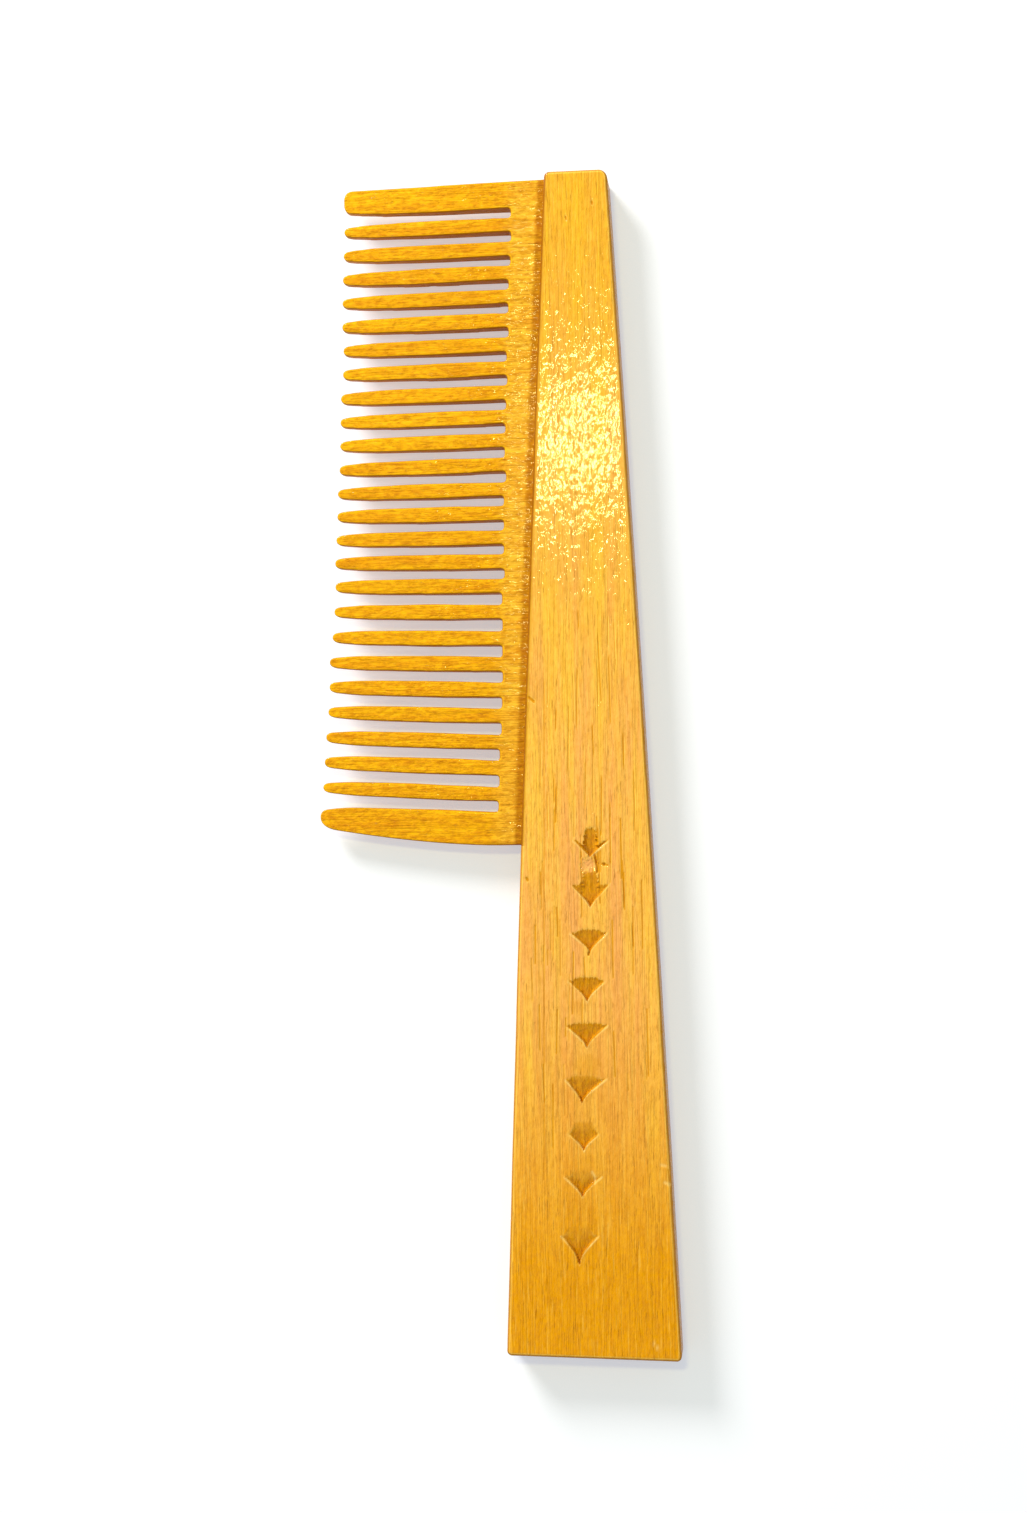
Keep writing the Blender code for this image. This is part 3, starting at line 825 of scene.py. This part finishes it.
def face_relief(settings, x, y):
    """Height change of the bar's face, and its dark, pale and torn marks."""
    relief = np.zeros_like(x)
    carved = np.zeros_like(x)
    burred = np.zeros_like(x)
    notch_depth = settings.notch_depth / MM
    for number, notch in enumerate(NOTCHES):
        depth, floor_stain_and_shade, burr = notch_relief(notch, number, x, y)
        relief -= notch_depth * depth
        carved = np.maximum(carved, floor_stain_and_shade)
        burred = np.maximum(burred, burr)
    burred *= carved < 0.05
    for dent in (*DENTS, *drying_checks()):
        depth = dent_relief(dent, x, y)
        strength = depth / dent[5]
        relief -= depth
        carved = np.maximum(carved, strength * max(0.0, dent[6]))
        burred = np.maximum(burred, strength * max(0.0, -dent[6]))
    for middle_x, middle_y, reach_x, reach_y, strength in STAINS:
        away = ((x - middle_x) / reach_x) ** 2 + ((y - middle_y) / reach_y) ** 2
        carved = np.maximum(carved, strength * np.exp(-(away**2)))
    chip_x, chip_y, chip_rx, chip_ry = TORN_CHIP
    torn = ((x - chip_x) / chip_rx) ** 2 + ((y - chip_y) / chip_ry) ** 2
    torn = torn * (1.0 + 0.35 * np.sin(5.0 * x + 3.0 * y) + 0.25 * np.sin(9.0 * y - 4.0 * x))
    torn = np.exp(-(np.abs(torn) ** 2))
    ragged = np.sin(y * 6.0 + np.sin(x * 5.0) * 2.0) * 0.05
    relief -= (0.25 + ragged) * torn
    marks = {"carved": carved, "burr": burred, "torn": torn * (carved < 0.8)}
    return relief + BURR_HEIGHT * burred * (1.0 - torn), marks


def handle_grid(settings):
    """Points of every cross-section of the bar, and the marks on them."""
    rows = row_places()
    count = len(rows)
    from_butt, from_head = rows, HANDLE_LENGTH - rows
    wave = np.array([soft_wave(3, r, 14.0) for r in rows])
    wave_left = np.array([soft_wave(5, r, 11.0) for r in rows])
    half = half_width(settings, rows)
    small, large = SMALL_CORNER_ROUND, HEAD_CORNER_ROUND
    right = half - corner_inset(from_butt, small) - corner_inset(from_head, large)
    left = half - corner_inset(from_butt, small) - corner_inset(from_head, small)
    right -= SIDE_UNEVEN * (0.5 + 0.5 * wave)
    left -= SIDE_UNEVEN * (0.5 + 0.5 * wave_left)
    radius = settings.edge_round / MM
    end_drop = corner_inset(from_butt, radius) + corner_inset(from_head, radius)
    top = settings.thickness / MM - FACE_BELOW_BOX - end_drop
    low = 0.0 + end_drop
    round_right = np.maximum(0.12, radius * (1.0 + EDGE_UNEVEN * wave_left) - end_drop)
    round_left = np.maximum(0.12, radius * (1.0 + EDGE_UNEVEN * wave) - end_drop)
    groove_in = np.where(rows > GROOVE_START, settings.groove_depth / MM, 0.0)
    groove_half = settings.groove_height / MM / 2.0
    middle_z = settings.thickness / MM / 2.0
    # The groove's bottom runs beside the blade's tongue, which follows the untapered edge.
    head, butt = settings.head_half_width / MM, settings.butt_half_width / MM
    edge_line = -(butt + (head - butt) * rows / HANDLE_LENGTH)
    groove_x = np.where(groove_in > 0.0, edge_line + groove_in, -left)

    ring = []
    for i in range(FACE_COLUMNS + 1):
        t = i / FACE_COLUMNS
        ring.append((-left + round_left + (left + right - round_left - round_right) * t, top))
    for i in range(1, ARC_STEPS + 1):
        a = math.pi / 2.0 * i / ARC_STEPS
        ring.append((right - round_right * (1 - math.sin(a)), top - round_right * (1 - math.cos(a))))
    for t in (0.33, 0.66):
        ring.append((right, top - round_right + (low + 2 * round_right - top) * t))
    for i in range(ARC_STEPS + 1):
        a = math.pi / 2.0 * i / ARC_STEPS
        ring.append((right - round_right * (1 - math.cos(a)), low + round_right * (1 - math.sin(a))))
    for i in range(1, BACK_COLUMNS + 1):
        t = i / BACK_COLUMNS
        ring.append((right - round_right - (left + right - round_left - round_right) * t, low))
    for i in range(1, ARC_STEPS + 1):
        a = math.pi / 2.0 * i / ARC_STEPS
        ring.append((-left + round_left * (1 - math.sin(a)), low + round_left * (1 - math.cos(a))))
    flat = np.zeros(count)
    ring.append((-left, flat + middle_z - groove_half))
    ring.append((groove_x, flat + middle_z - groove_half))
    ring.append((groove_x, flat + middle_z + groove_half))
    ring.append((-left, flat + middle_z + groove_half))
    for i in range(ARC_STEPS):
        a = math.pi / 2.0 * i / ARC_STEPS
        ring.append((-left + round_left * (1 - math.cos(a)), top - round_left * (1 - math.sin(a))))
    xs = np.stack([np.broadcast_to(p[0], count) for p in ring], axis=1)
    zs = np.stack([np.broadcast_to(p[1], count) for p in ring], axis=1)
    ys = np.broadcast_to(rows[:, None], xs.shape).copy()
    # The butt was sawn slightly out of square.
    fade = np.clip(1.0 - ys / 12.0, 0.0, 1.0)
    ys -= xs * math.tan(BUTT_SKEW) * fade
    ys = np.clip(ys, ys.min() + END_INSET, ys.max() - END_INSET)
    face = zs > middle_z + groove_half + 0.5
    # Band on the bar's face beside the joint: painted shade at the joint, with some varnish pooling.
    beside = np.clip((-left[:, None] + POOL_AND_SHADE_WIDTH - xs) / 0.5, 0.0, 1.0)
    beside *= (ys > GROOVE_START) & (zs > middle_z + 0.5)
    relief, marks = face_relief(settings, xs, ys)
    marks["pool_and_joint_shade"] = beside
    edge_fade = np.clip((zs - (top - round_right)[:, None]) / 0.5, 0.0, 1.0)
    zs = zs + np.where(face, relief * edge_fade, 0.0)
    return xs, ys, zs, {name: np.where(face, mark, 0.0) for name, mark in marks.items()}


def mesh_object(name, vertices, faces):
    """A mesh object in the frame, from points in millimetres on the bench."""
    mesh = bpy.data.meshes.new(name)
    mesh.from_pydata([to_frame(v) for v in vertices], [], faces)
    made = bpy.data.objects.new(name, mesh)
    bpy.context.scene.collection.objects.link(made)
    return made


def mark_points(mesh, name, values):
    """Stores a number for each point of a mesh, which its material reads by name."""
    layer = mesh.attributes.new(name, "FLOAT", "POINT")
    layer.data.foreach_set("value", np.asarray(values, np.float32))


def shade(made, angle):
    """Smooth shading, with edges sharper than an angle in degrees kept crisp."""
    made.data.polygons.foreach_set("use_smooth", [True] * len(made.data.polygons))
    made.data.set_sharp_from_angle(angle=math.radians(angle))


def build_handle(settings):
    """The bar as one closed skin through its cross-sections."""
    xs, ys, zs, marks = handle_grid(settings)
    rows, ring = xs.shape
    points = np.stack([xs.ravel(), ys.ravel(), zs.ravel()], axis=1)
    faces = []
    for r in range(rows - 1):
        a, b = r * ring, (r + 1) * ring
        for c in range(ring):
            d = (c + 1) % ring
            faces.append((a + c, b + c, b + d, a + d))
    faces.append(tuple(range(ring)))
    faces.append(tuple(range((rows - 1) * ring, rows * ring))[::-1])
    handle = mesh_object("handle_bar", points.tolist(), faces)
    for name, values in marks.items():
        mark_points(handle.data, name, values.ravel())
    work = bmesh.new()
    work.from_mesh(handle.data)
    bmesh.ops.remove_doubles(work, verts=work.verts, dist=0.002 * MM)
    bmesh.ops.recalc_face_normals(work, faces=work.faces)
    work.to_mesh(handle.data)
    work.free()
    shade(handle, 50.0)
    return handle


# ---------------------------------------------------------------- blade


def line_at(ends, y):
    """Where a line beside the teeth, from head to butt, stands at height y."""
    return ends[0] + (ends[1] - ends[0]) * (FIRST_TOOTH_Y - y) / (FIRST_TOOTH_Y - BUTT_GUARD_EDGE_Y)


def tip_at(y):
    """The tooth tips' line, which bows slightly towards the handle."""
    t = (FIRST_TOOTH_Y - y) / (FIRST_TOOTH_Y - BUTT_GUARD_EDGE_Y)
    return line_at(TIP_LINE, y) + TIP_BOW * 4.0 * t * (1.0 - t)


def tooth_row(settings):
    """Every tooth from head to butt, each with the root of the slot above it."""
    hand = random.Random(HAND_SEED)
    head = {"y": HEAD_GUARD_Y, "slope": 0.0, "half": HEAD_GUARD_WIDTH / 2.0}
    butt = {"y": BUTT_GUARD_Y, "slope": math.tan(BUTT_GUARD_SLOPE)}
    butt["half"] = BUTT_GUARD_WIDTH / 2.0
    thin = []
    y = FIRST_TOOTH_Y
    for index in range(THIN_TEETH):
        fan = FAN_STEP * max(0, index + 1 - STRAIGHT_TEETH)
        middle = y + hand.uniform(-HAND_SHIFT, HAND_SHIFT)
        tooth = {"y": middle, "slope": math.tan(fan)}
        width = settings.tooth_width / MM + hand.uniform(-HAND_WIDTH, HAND_WIDTH)
        tooth["half"] = width / 2.0
        tooth["tip"] = tip_at(middle) + hand.uniform(-HAND_TIP, HAND_TIP)
        thin.append(tooth)
        y -= FINE_PITCH if index < FINE_PITCH_TEETH else COARSE_PITCH
    head["tip"], butt["tip"] = tip_at(head["y"]), tip_at(butt["y"])
    teeth = [head, *thin, butt]
    for number, tooth in enumerate(teeth):
        tooth["number"] = number
        if number:
            tooth["root"] = line_at(ROOT_LINE, tooth["y"]) + hand.uniform(-HAND_ROOT, HAND_ROOT)
    return teeth


def edge_y(tooth, x, side):
    """Height of a tooth's upper (side 1) or lower (side -1) edge at x."""
    return tooth["y"] + (PITCH_LINE_X - x) * tooth["slope"] + side * tooth["half"]


def filed_edge(settings, tooth, side, start, end):
    """Points along a tooth's edge between two x, swelling and waving as the file left it."""
    points = []
    for i in range(1, SIDE_POINTS):
        t = i / SIDE_POINTS
        x = start + (end - start) * t
        swell = math.sin(math.pi * t)
        wave = soft_wave(2 * tooth["number"] + side, x, WAVE_LENGTH)
        push = settings.belly / MM * swell + WAVE_HEIGHT * wave * min(1.0, 3.0 * swell)
        points.append((x, edge_y(tooth, x, side) + side * push))
    return points


def tip_share(distance, length):
    """A tooth's width at a distance from its tip, as a share of its full width."""
    nose = 1.0 - (1.0 - min(1.0, distance / TIP_NOSE)) ** TIP_POWER
    taper = math.sin(math.pi / 2.0 * min(1.0, distance / length))
    return nose ** (1.0 / TIP_POWER) * (TIP_SHARE + (1.0 - TIP_SHARE) * taper)


def tooth_tip(settings, tooth):
    """The tapered, rounded end of a thin tooth, from its upper to its lower edge."""
    length = settings.taper_length / MM
    points = []
    for side in (1, -1):
        steps = range(TIP_POINTS, -1, -1) if side > 0 else range(1, TIP_POINTS + 1)
        for i in steps:
            s = length * (i / TIP_POINTS) ** 2.0
            x = tooth["tip"] + s
            points.append((x, edge_y(tooth, x, 0) + side * tooth["half"] * tip_share(s, length)))
    return points


def rounded_corner(before, corner, after, radius, steps=4):
    """Points of an arc that replaces a corner between two straight stretches."""
    before, corner, after = Vector(before), Vector(corner), Vector(after)
    way_in = (before - corner).normalized()
    way_out = (after - corner).normalized()
    half_angle = way_in.angle(way_out) / 2.0
    centre = corner + (way_in + way_out).normalized() * radius / math.sin(half_angle)
    first = corner + way_in * radius / math.tan(half_angle) - centre
    sweep = math.pi - 2.0 * half_angle
    if way_in.x * way_out.y - way_in.y * way_out.x > 0.0:
        sweep = -sweep
    turns = [Matrix.Rotation(sweep * step / steps, 2) for step in range(steps + 1)]
    return [tuple(centre + turn @ first) for turn in turns]


def slot_corner(tooth, root, side):
    """The softened inner corner of a slot, on a tooth's upper (1) or lower (-1) edge."""
    corner = (root, edge_y(tooth, root, side))
    along = (root - FINE_PITCH, edge_y(tooth, root - FINE_PITCH, side))
    across = (root, corner[1] + side * FINE_PITCH)
    ends = (across, along) if side > 0 else (along, across)
    return rounded_corner(ends[0], corner, ends[1], SLOT_CORNER_ROUND)


def tongue_x(y):
    """The tongue's inner edge, at an even depth in the handle's groove."""
    return TONGUE_DEPTH - half_width_at_rest(y)


def blade_outline(settings, teeth):
    """The whole blade seen from above, round all its teeth, from head to butt."""
    taper = settings.taper_length / MM
    head, butt = teeth[0], teeth[-1]
    start = (tongue_x(HEAD_GUARD_EDGE_Y), HEAD_GUARD_EDGE_Y)
    outer = (head["tip"], HEAD_GUARD_EDGE_Y - GUARD_TIP_PINCH)
    inner = (head["tip"], edge_y(head, head["tip"], -1) + GUARD_TIP_PINCH)
    shoulder_x = head["tip"] + taper
    shoulder = (shoulder_x, edge_y(head, shoulder_x, -1))
    outline = [start]
    outline += rounded_corner(start, outer, inner, HEAD_GUARD_ROUND)
    outline += rounded_corner(outer, inner, shoulder, HEAD_GUARD_ROUND)
    outline.append(shoulder)
    for above, below in zip(teeth, teeth[1:]):
        root = below["root"]
        inner_end = root - 2.0 * SLOT_CORNER_ROUND
        outline += filed_edge(settings, above, -1, above["tip"] + taper, inner_end)
        outline += slot_corner(above, root, -1) + slot_corner(below, root, 1)
        outline += filed_edge(settings, below, 1, inner_end, below["tip"] + taper)
        if below is not butt:
            outline += tooth_tip(settings, below)
    tip = butt["tip"]
    nose = edge_y(butt, tip, 1) - BUTT_NOSE_DROP
    for i in range(TIP_POINTS, 0, -1):
        s = taper * (i / TIP_POINTS) ** 2.0
        x = tip + s
        outline.append((x, nose + (edge_y(butt, x, 1) - nose) * tip_share(s, taper)))
    for i in range(SWEEP_POINTS + 1):
        t = (i / SWEEP_POINTS) ** 1.8
        x = tip + (ROOT_LINE[1] - tip) * t
        sweep = BUTT_GUARD_EDGE_Y + BUTT_GUARD_RISE * (1.0 - t) ** 1.65
        s = min(1.0, (x - tip) / BUTT_NOSE_LENGTH)
        share = (1.0 - (1.0 - s) ** TIP_POWER) ** (1.0 / TIP_POWER)
        outline.append((x, nose + (sweep - nose) * share))
    outline.append((tongue_x(BUTT_GUARD_EDGE_Y), BUTT_GUARD_EDGE_Y))
    return outline


def plate(outline, thickness, middle_z):
    """A flat plate as a mesh in millimetres, from its outline."""
    curve = bpy.data.curves.new("plate", "CURVE")
    curve.dimensions = "2D"
    curve.fill_mode = "BOTH"
    curve.extrude = thickness / 2.0
    spline = curve.splines.new("POLY")
    spline.points.add(len(outline) - 1)
    for point, (x, y) in zip(spline.points, outline):
        point.co = (x, y, 0.0, 1.0)
    spline.use_cyclic_u = True
    guide = bpy.data.objects.new("plate", curve)
    bpy.context.scene.collection.objects.link(guide)
    graph = bpy.context.evaluated_depsgraph_get()
    mesh = bpy.data.meshes.new_from_object(guide.evaluated_get(graph))
    bpy.data.objects.remove(guide, do_unlink=True)
    work = bmesh.new()
    work.from_mesh(mesh)
    bmesh.ops.remove_doubles(work, verts=work.verts, dist=0.001)
    bmesh.ops.translate(work, verts=work.verts, vec=(0.0, 0.0, middle_z))
    bmesh.ops.recalc_face_normals(work, faces=work.faces)
    work.to_mesh(mesh)
    work.free()
    return mesh


def softened(mesh):
    """The same solid with an even skin, its edges rounded over as by file and sandpaper."""
    made = bpy.data.objects.new("blade_blank", mesh)
    bpy.context.scene.collection.objects.link(made)
    remesh = made.modifiers.new("skin", "REMESH")
    remesh.mode = "VOXEL"
    remesh.voxel_size = VOXEL
    smooth = made.modifiers.new("sanding", "SMOOTH")
    smooth.factor = 0.5
    smooth.iterations = SOFTENING
    graph = bpy.context.evaluated_depsgraph_get()
    result = bpy.data.meshes.new_from_object(made.evaluated_get(graph))
    bpy.data.objects.remove(made, do_unlink=True)
    return result


def thin_towards_tips(settings, points, middle_z):
    """Planes the teeth thinner towards their tips, and adds the file's waves on the faces."""
    full = settings.thickness
    for point in points:
        root = line_at(ROOT_LINE, point[1]) - 0.6
        reach = max(1.0, root - tip_at(point[1]))
        t = min(1.0, max(0.0, (root - point[0]) / reach))
        scale = 1.0 - (1.0 - settings.tip_thickness / full) * t
        place = Vector((point[0] / FACE_WAVE_LENGTH, point[1] / FACE_WAVE_LENGTH * 1.6, 0.3))
        wave = FACE_WAVE_HEIGHT * min(1.0, 4.0 * t) * noise.noise(place)
        side = 1.0 if point[2] > middle_z else -1.0
        point[2] = middle_z + (point[2] - middle_z) * scale + side * (wave - 0.5 * FACE_WAVE_HEIGHT * t)
    return points


def mark_board(mesh):
    """Marks the spine, and the band along the joint with the handle: painted shade, with some varnish pooling there
    too.
    """
    spine, pool_and_joint_shade = [], []
    for vertex in mesh.vertices:
        x, y = (vertex.co.x - BENCH.x) / MM, (vertex.co.y - BENCH.y) / MM
        t = y / HANDLE_LENGTH
        joint = -half_width_at_rest(y) - SIDE_CAMBER * 4.0 * t * (1.0 - t)
        wander = 0.25 * noise.noise(Vector((0.0, y / 3.0, 0.0)))
        spine.append(min(1.0, max(0.0, (x - line_at(ROOT_LINE, y)) / 3.5 + 0.6)))
        # Painted shade along the joint with the handle, with some varnish pooling there too.
        pool_and_joint_shade.append(min(1.0, max(0.0, (x - joint + 2.0 * POOL_AND_SHADE_WIDTH + wander) / 0.7)))
    mark_points(mesh, "spine", spine)
    mark_points(mesh, "pool_and_joint_shade", pool_and_joint_shade)


def board_from(mesh, name, seam, keep_head_side):
    """One board: the blade's skin cut square at the seam and closed there."""
    work = bmesh.new()
    work.from_mesh(mesh)
    offset = SEAM_GAP / 2.0 if keep_head_side else -SEAM_GAP / 2.0
    cut = bmesh.ops.bisect_plane(
        work,
        geom=[*work.verts, *work.edges, *work.faces],
        dist=0.0001,
        plane_co=(0.0, seam + offset, 0.0),
        plane_no=(0.0, 1.0, 0.0),
        clear_inner=keep_head_side,
        clear_outer=not keep_head_side,
    )
    rim = [e for e in cut["geom_cut"] if isinstance(e, bmesh.types.BMEdge)]
    bmesh.ops.edgeloop_fill(work, edges=rim)
    for vertex in work.verts:
        vertex.co = to_frame(vertex.co)
    bmesh.ops.recalc_face_normals(work, faces=work.faces)
    board_mesh = bpy.data.meshes.new(name)
    work.to_mesh(board_mesh)
    work.free()
    mark_board(board_mesh)
    board = bpy.data.objects.new(name, board_mesh)
    bpy.context.scene.collection.objects.link(board)
    shade(board, 60.0)
    return board


def build_boards(settings):
    """The blade in one skin, then parted at the seam into its two boards."""
    teeth = tooth_row(settings)
    middle_z = (BOARD_BOXES[0][0].z + BOARD_BOXES[0][1].z) / 2.0 / MM
    blank = plate(blade_outline(settings, teeth), settings.thickness / MM, middle_z)
    skin = softened(blank)
    points = np.zeros(len(skin.vertices) * 3)
    skin.vertices.foreach_get("co", points)
    points = thin_towards_tips(settings, points.reshape(-1, 3), middle_z)
    skin.vertices.foreach_set("co", points.ravel())
    above, below = teeth[HEAD_BOARD_TEETH - 1], teeth[HEAD_BOARD_TEETH]
    root = below["root"]
    seam = (edge_y(above, root, -1) + edge_y(below, root, 1)) / 2.0 + SEAM_ABOVE_SLOT_MIDDLE
    head = board_from(skin, "blade_board_head", seam, True)
    butt = board_from(skin, "blade_board_butt", seam, False)
    return head, butt


# ---------------------------------------------------------------- operators


def finish_piece(piece, material, nodes, slot):
    """Gives a piece its finish, its body and the CAD nodes that it stands for."""
    piece.data.materials.clear()
    piece.data.materials.append(material)
    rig.ride(piece, "root")
    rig.replaces(piece, *nodes)
    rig.slot(piece, slot)


class COMB_OT_handle(bpy.types.Operator):
    """Builds the tapered handle bar with its groove and carved notches"""

    bl_idname = "comb.handle"
    bl_label = "Handle bar"

    def execute(self, context):
        settings = context.scene.comb_handle
        handle = build_handle(settings)
        wood = varnished_wood(
            "amber_varnished_maple_bar",
            True,
            (settings.wood_light, settings.wood_dark, settings.butt_colour, settings.head_colour),
            *BAR_VARNISH,
        )
        finish_piece(handle, wood, ["handle"], "handle_wood")
        return {"FINISHED"}


class COMB_OT_boards(bpy.types.Operator):
    """Builds the two toothed boards of the blade"""

    bl_idname = "comb.boards"
    bl_label = "Blade boards"

    def execute(self, context):
        settings = context.scene.comb_blade
        head, butt = build_boards(settings)
        wood = varnished_wood(
            "amber_varnished_maple_board",
            False,
            (settings.wood_light, settings.wood_dark, settings.spine_dark, settings.spine_light),
            *BOARD_VARNISH,
        )
        finish_piece(head, wood, ["blade_head_board"], "blade_wood")
        finish_piece(butt, wood, ["blade_butt_board"], "blade_wood")
        return {"FINISHED"}


class COMB_OT_glue(bpy.types.Operator):
    """Gives the strip of glue in the groove its finish"""

    bl_idname = "comb.glue"
    bl_label = "Glue line"

    def execute(self, context):
        glue = frame["nodes"]["glue_line"]
        glue.data.materials.clear()
        glue.data.materials.append(dried_wood_glue())
        return {"FINISHED"}


class COMB_OT_stage(bpy.types.Operator):
    """Lays out the pale card, the soft lights and the camera"""

    bl_idname = "comb.stage"
    bl_label = "Stage"

    def execute(self, context):
        settings = context.scene.comb_stage
        self.lay_card(settings)
        self.hang_lights(context, settings)
        self.place_camera(context, settings)
        context.scene.view_settings.view_transform = "Standard"
        return {"FINISHED"}

    def lay_card(self, settings):
        """A wide card just under the comb."""
        reach, drop = CARD_REACH / MM, -CARD_DROP
        corners = [(-reach, -reach, drop), (reach, -reach, drop), (reach, reach, drop)]
        card = mesh_object("card", corners + [(-reach, reach, drop)], [(0, 1, 2, 3)])
        card.data.materials.append(opal_acrylic(settings.card_colour, settings.card_glow))
        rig.stage(card)

    def hang_lights(self, context, settings):
        """Even room light, and a window-like light that mirrors in the upper handle."""
        world = bpy.data.worlds.new("room")
        world.use_nodes = True
        sky = world.node_tree.nodes["Background"]
        sky.inputs["Color"].default_value = (1.0, 1.0, 1.0, 1.0)
        sky.inputs["Strength"].default_value = settings.sky_strength
        context.scene.world = world
        shine = to_frame(SHINE_POINT)
        seen_from = (self.camera_place(settings) - shine).normalized()
        mirrored = Vector((-seen_from.x, -seen_from.y, seen_from.z))
        window, softbox = settings.window_power, settings.softbox_power
        offset = mirrored * WINDOW_DISTANCE
        glass = self.hang_light(context, "window", WINDOW_SIZE, window, shine, offset)
        glass.data.color = settings.window_colour
        middle = to_frame(CAMERA_AIM)
        self.hang_light(context, "softbox", SOFTBOX_SIZE, softbox, middle, SOFTBOX)

    def hang_light(self, context, name, size, power, target, offset):
        """An oval soft light that faces its target from an offset."""
        lamp = bpy.data.lights.new(name, "AREA")
        lamp.shape = "ELLIPSE"
        lamp.size, lamp.size_y = size
        lamp.energy = power
        light = bpy.data.objects.new(name, lamp)
        context.scene.collection.objects.link(light)
        light.location = target + offset
        light.rotation_mode = "QUATERNION"
        light.rotation_quaternion = (-offset).to_track_quat("-Z", "Y")
        return light

    def camera_place(self, settings):
        """The camera's place over the comb."""
        x, y = math.sin(CAMERA_LEAN), -math.sin(CAMERA_TIP)
        away = Vector((x, y, math.sqrt(1.0 - x * x - y * y)))
        return to_frame(CAMERA_AIM) + away * settings.camera_distance

    def place_camera(self, context, settings):
        """Sets the camera over the comb, aimed at its middle and slightly rolled."""
        lens = bpy.data.cameras.new("camera")
        lens.lens = CAMERA_LENS
        lens.clip_start, lens.clip_end = 0.01, 20.0
        camera = bpy.data.objects.new("camera", lens)
        context.scene.collection.objects.link(camera)
        place = self.camera_place(settings)
        forward = (to_frame(CAMERA_AIM) - place).normalized()
        level = forward.cross(Vector((0.0, 1.0, 0.0))).normalized()
        upright = level.cross(forward)
        c, s = math.cos(CAMERA_ROLL), math.sin(CAMERA_ROLL)
        right, up = c * level + s * upright, c * upright - s * level
        turn = Matrix((right, up, -forward)).transposed().to_4x4()
        camera.matrix_world = Matrix.Translation(place) @ turn
        context.scene.camera = camera


class COMB_PT_sidebar(bpy.types.Panel):
    """Lists the comb's settings and building steps."""

    bl_idname = "COMB_PT_sidebar"
    bl_label = "Wide-Tooth Comb"
    bl_space_type = "VIEW_3D"
    bl_region_type = "UI"
    bl_category = "Comb"

    def draw(self, context):
        for name, operator in STEPS:
            box = self.layout.box()
            box.operator(operator.bl_idname)
            group = getattr(context.scene, name, None)
            for key in group.bl_rna.properties.keys() if group else ():
                if key not in {"rna_type", "name"}:
                    box.prop(group, key)


STEPS = (
    ("comb_stage", COMB_OT_stage),
    ("comb_handle", COMB_OT_handle),
    ("comb_blade", COMB_OT_boards),
    ("comb_glue", COMB_OT_glue),
)
GROUPS = {
    "comb_handle": CombHandleSettings,
    "comb_blade": CombBladeSettings,
    "comb_stage": CombStageSettings,
}
CLASSES = (*GROUPS.values(), *(operator for _, operator in STEPS), COMB_PT_sidebar)


def register():
    for each in CLASSES:
        bpy.utils.register_class(each)
    for name, group in GROUPS.items():
        setattr(bpy.types.Scene, name, PointerProperty(type=group))


def unregister():
    for name in GROUPS:
        delattr(bpy.types.Scene, name)
    for each in reversed(CLASSES):
        bpy.utils.unregister_class(each)


def write_sizes():
    """Writes the CAD model's box and the finished model's box."""
    sizes = {
        "cad": [list(corner) for corner in CAD_BOX],
        "visual": [list(corner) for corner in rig.bounds()],
    }
    with open(SIZE_FILE, "w") as out:
        json.dump(sizes, out)


def main():
    register()
    bpy.ops.comb.stage()
    bpy.ops.comb.handle()
    bpy.ops.comb.boards()
    bpy.ops.comb.glue()
    write_sizes()


if __name__ == "__main__":
    main()
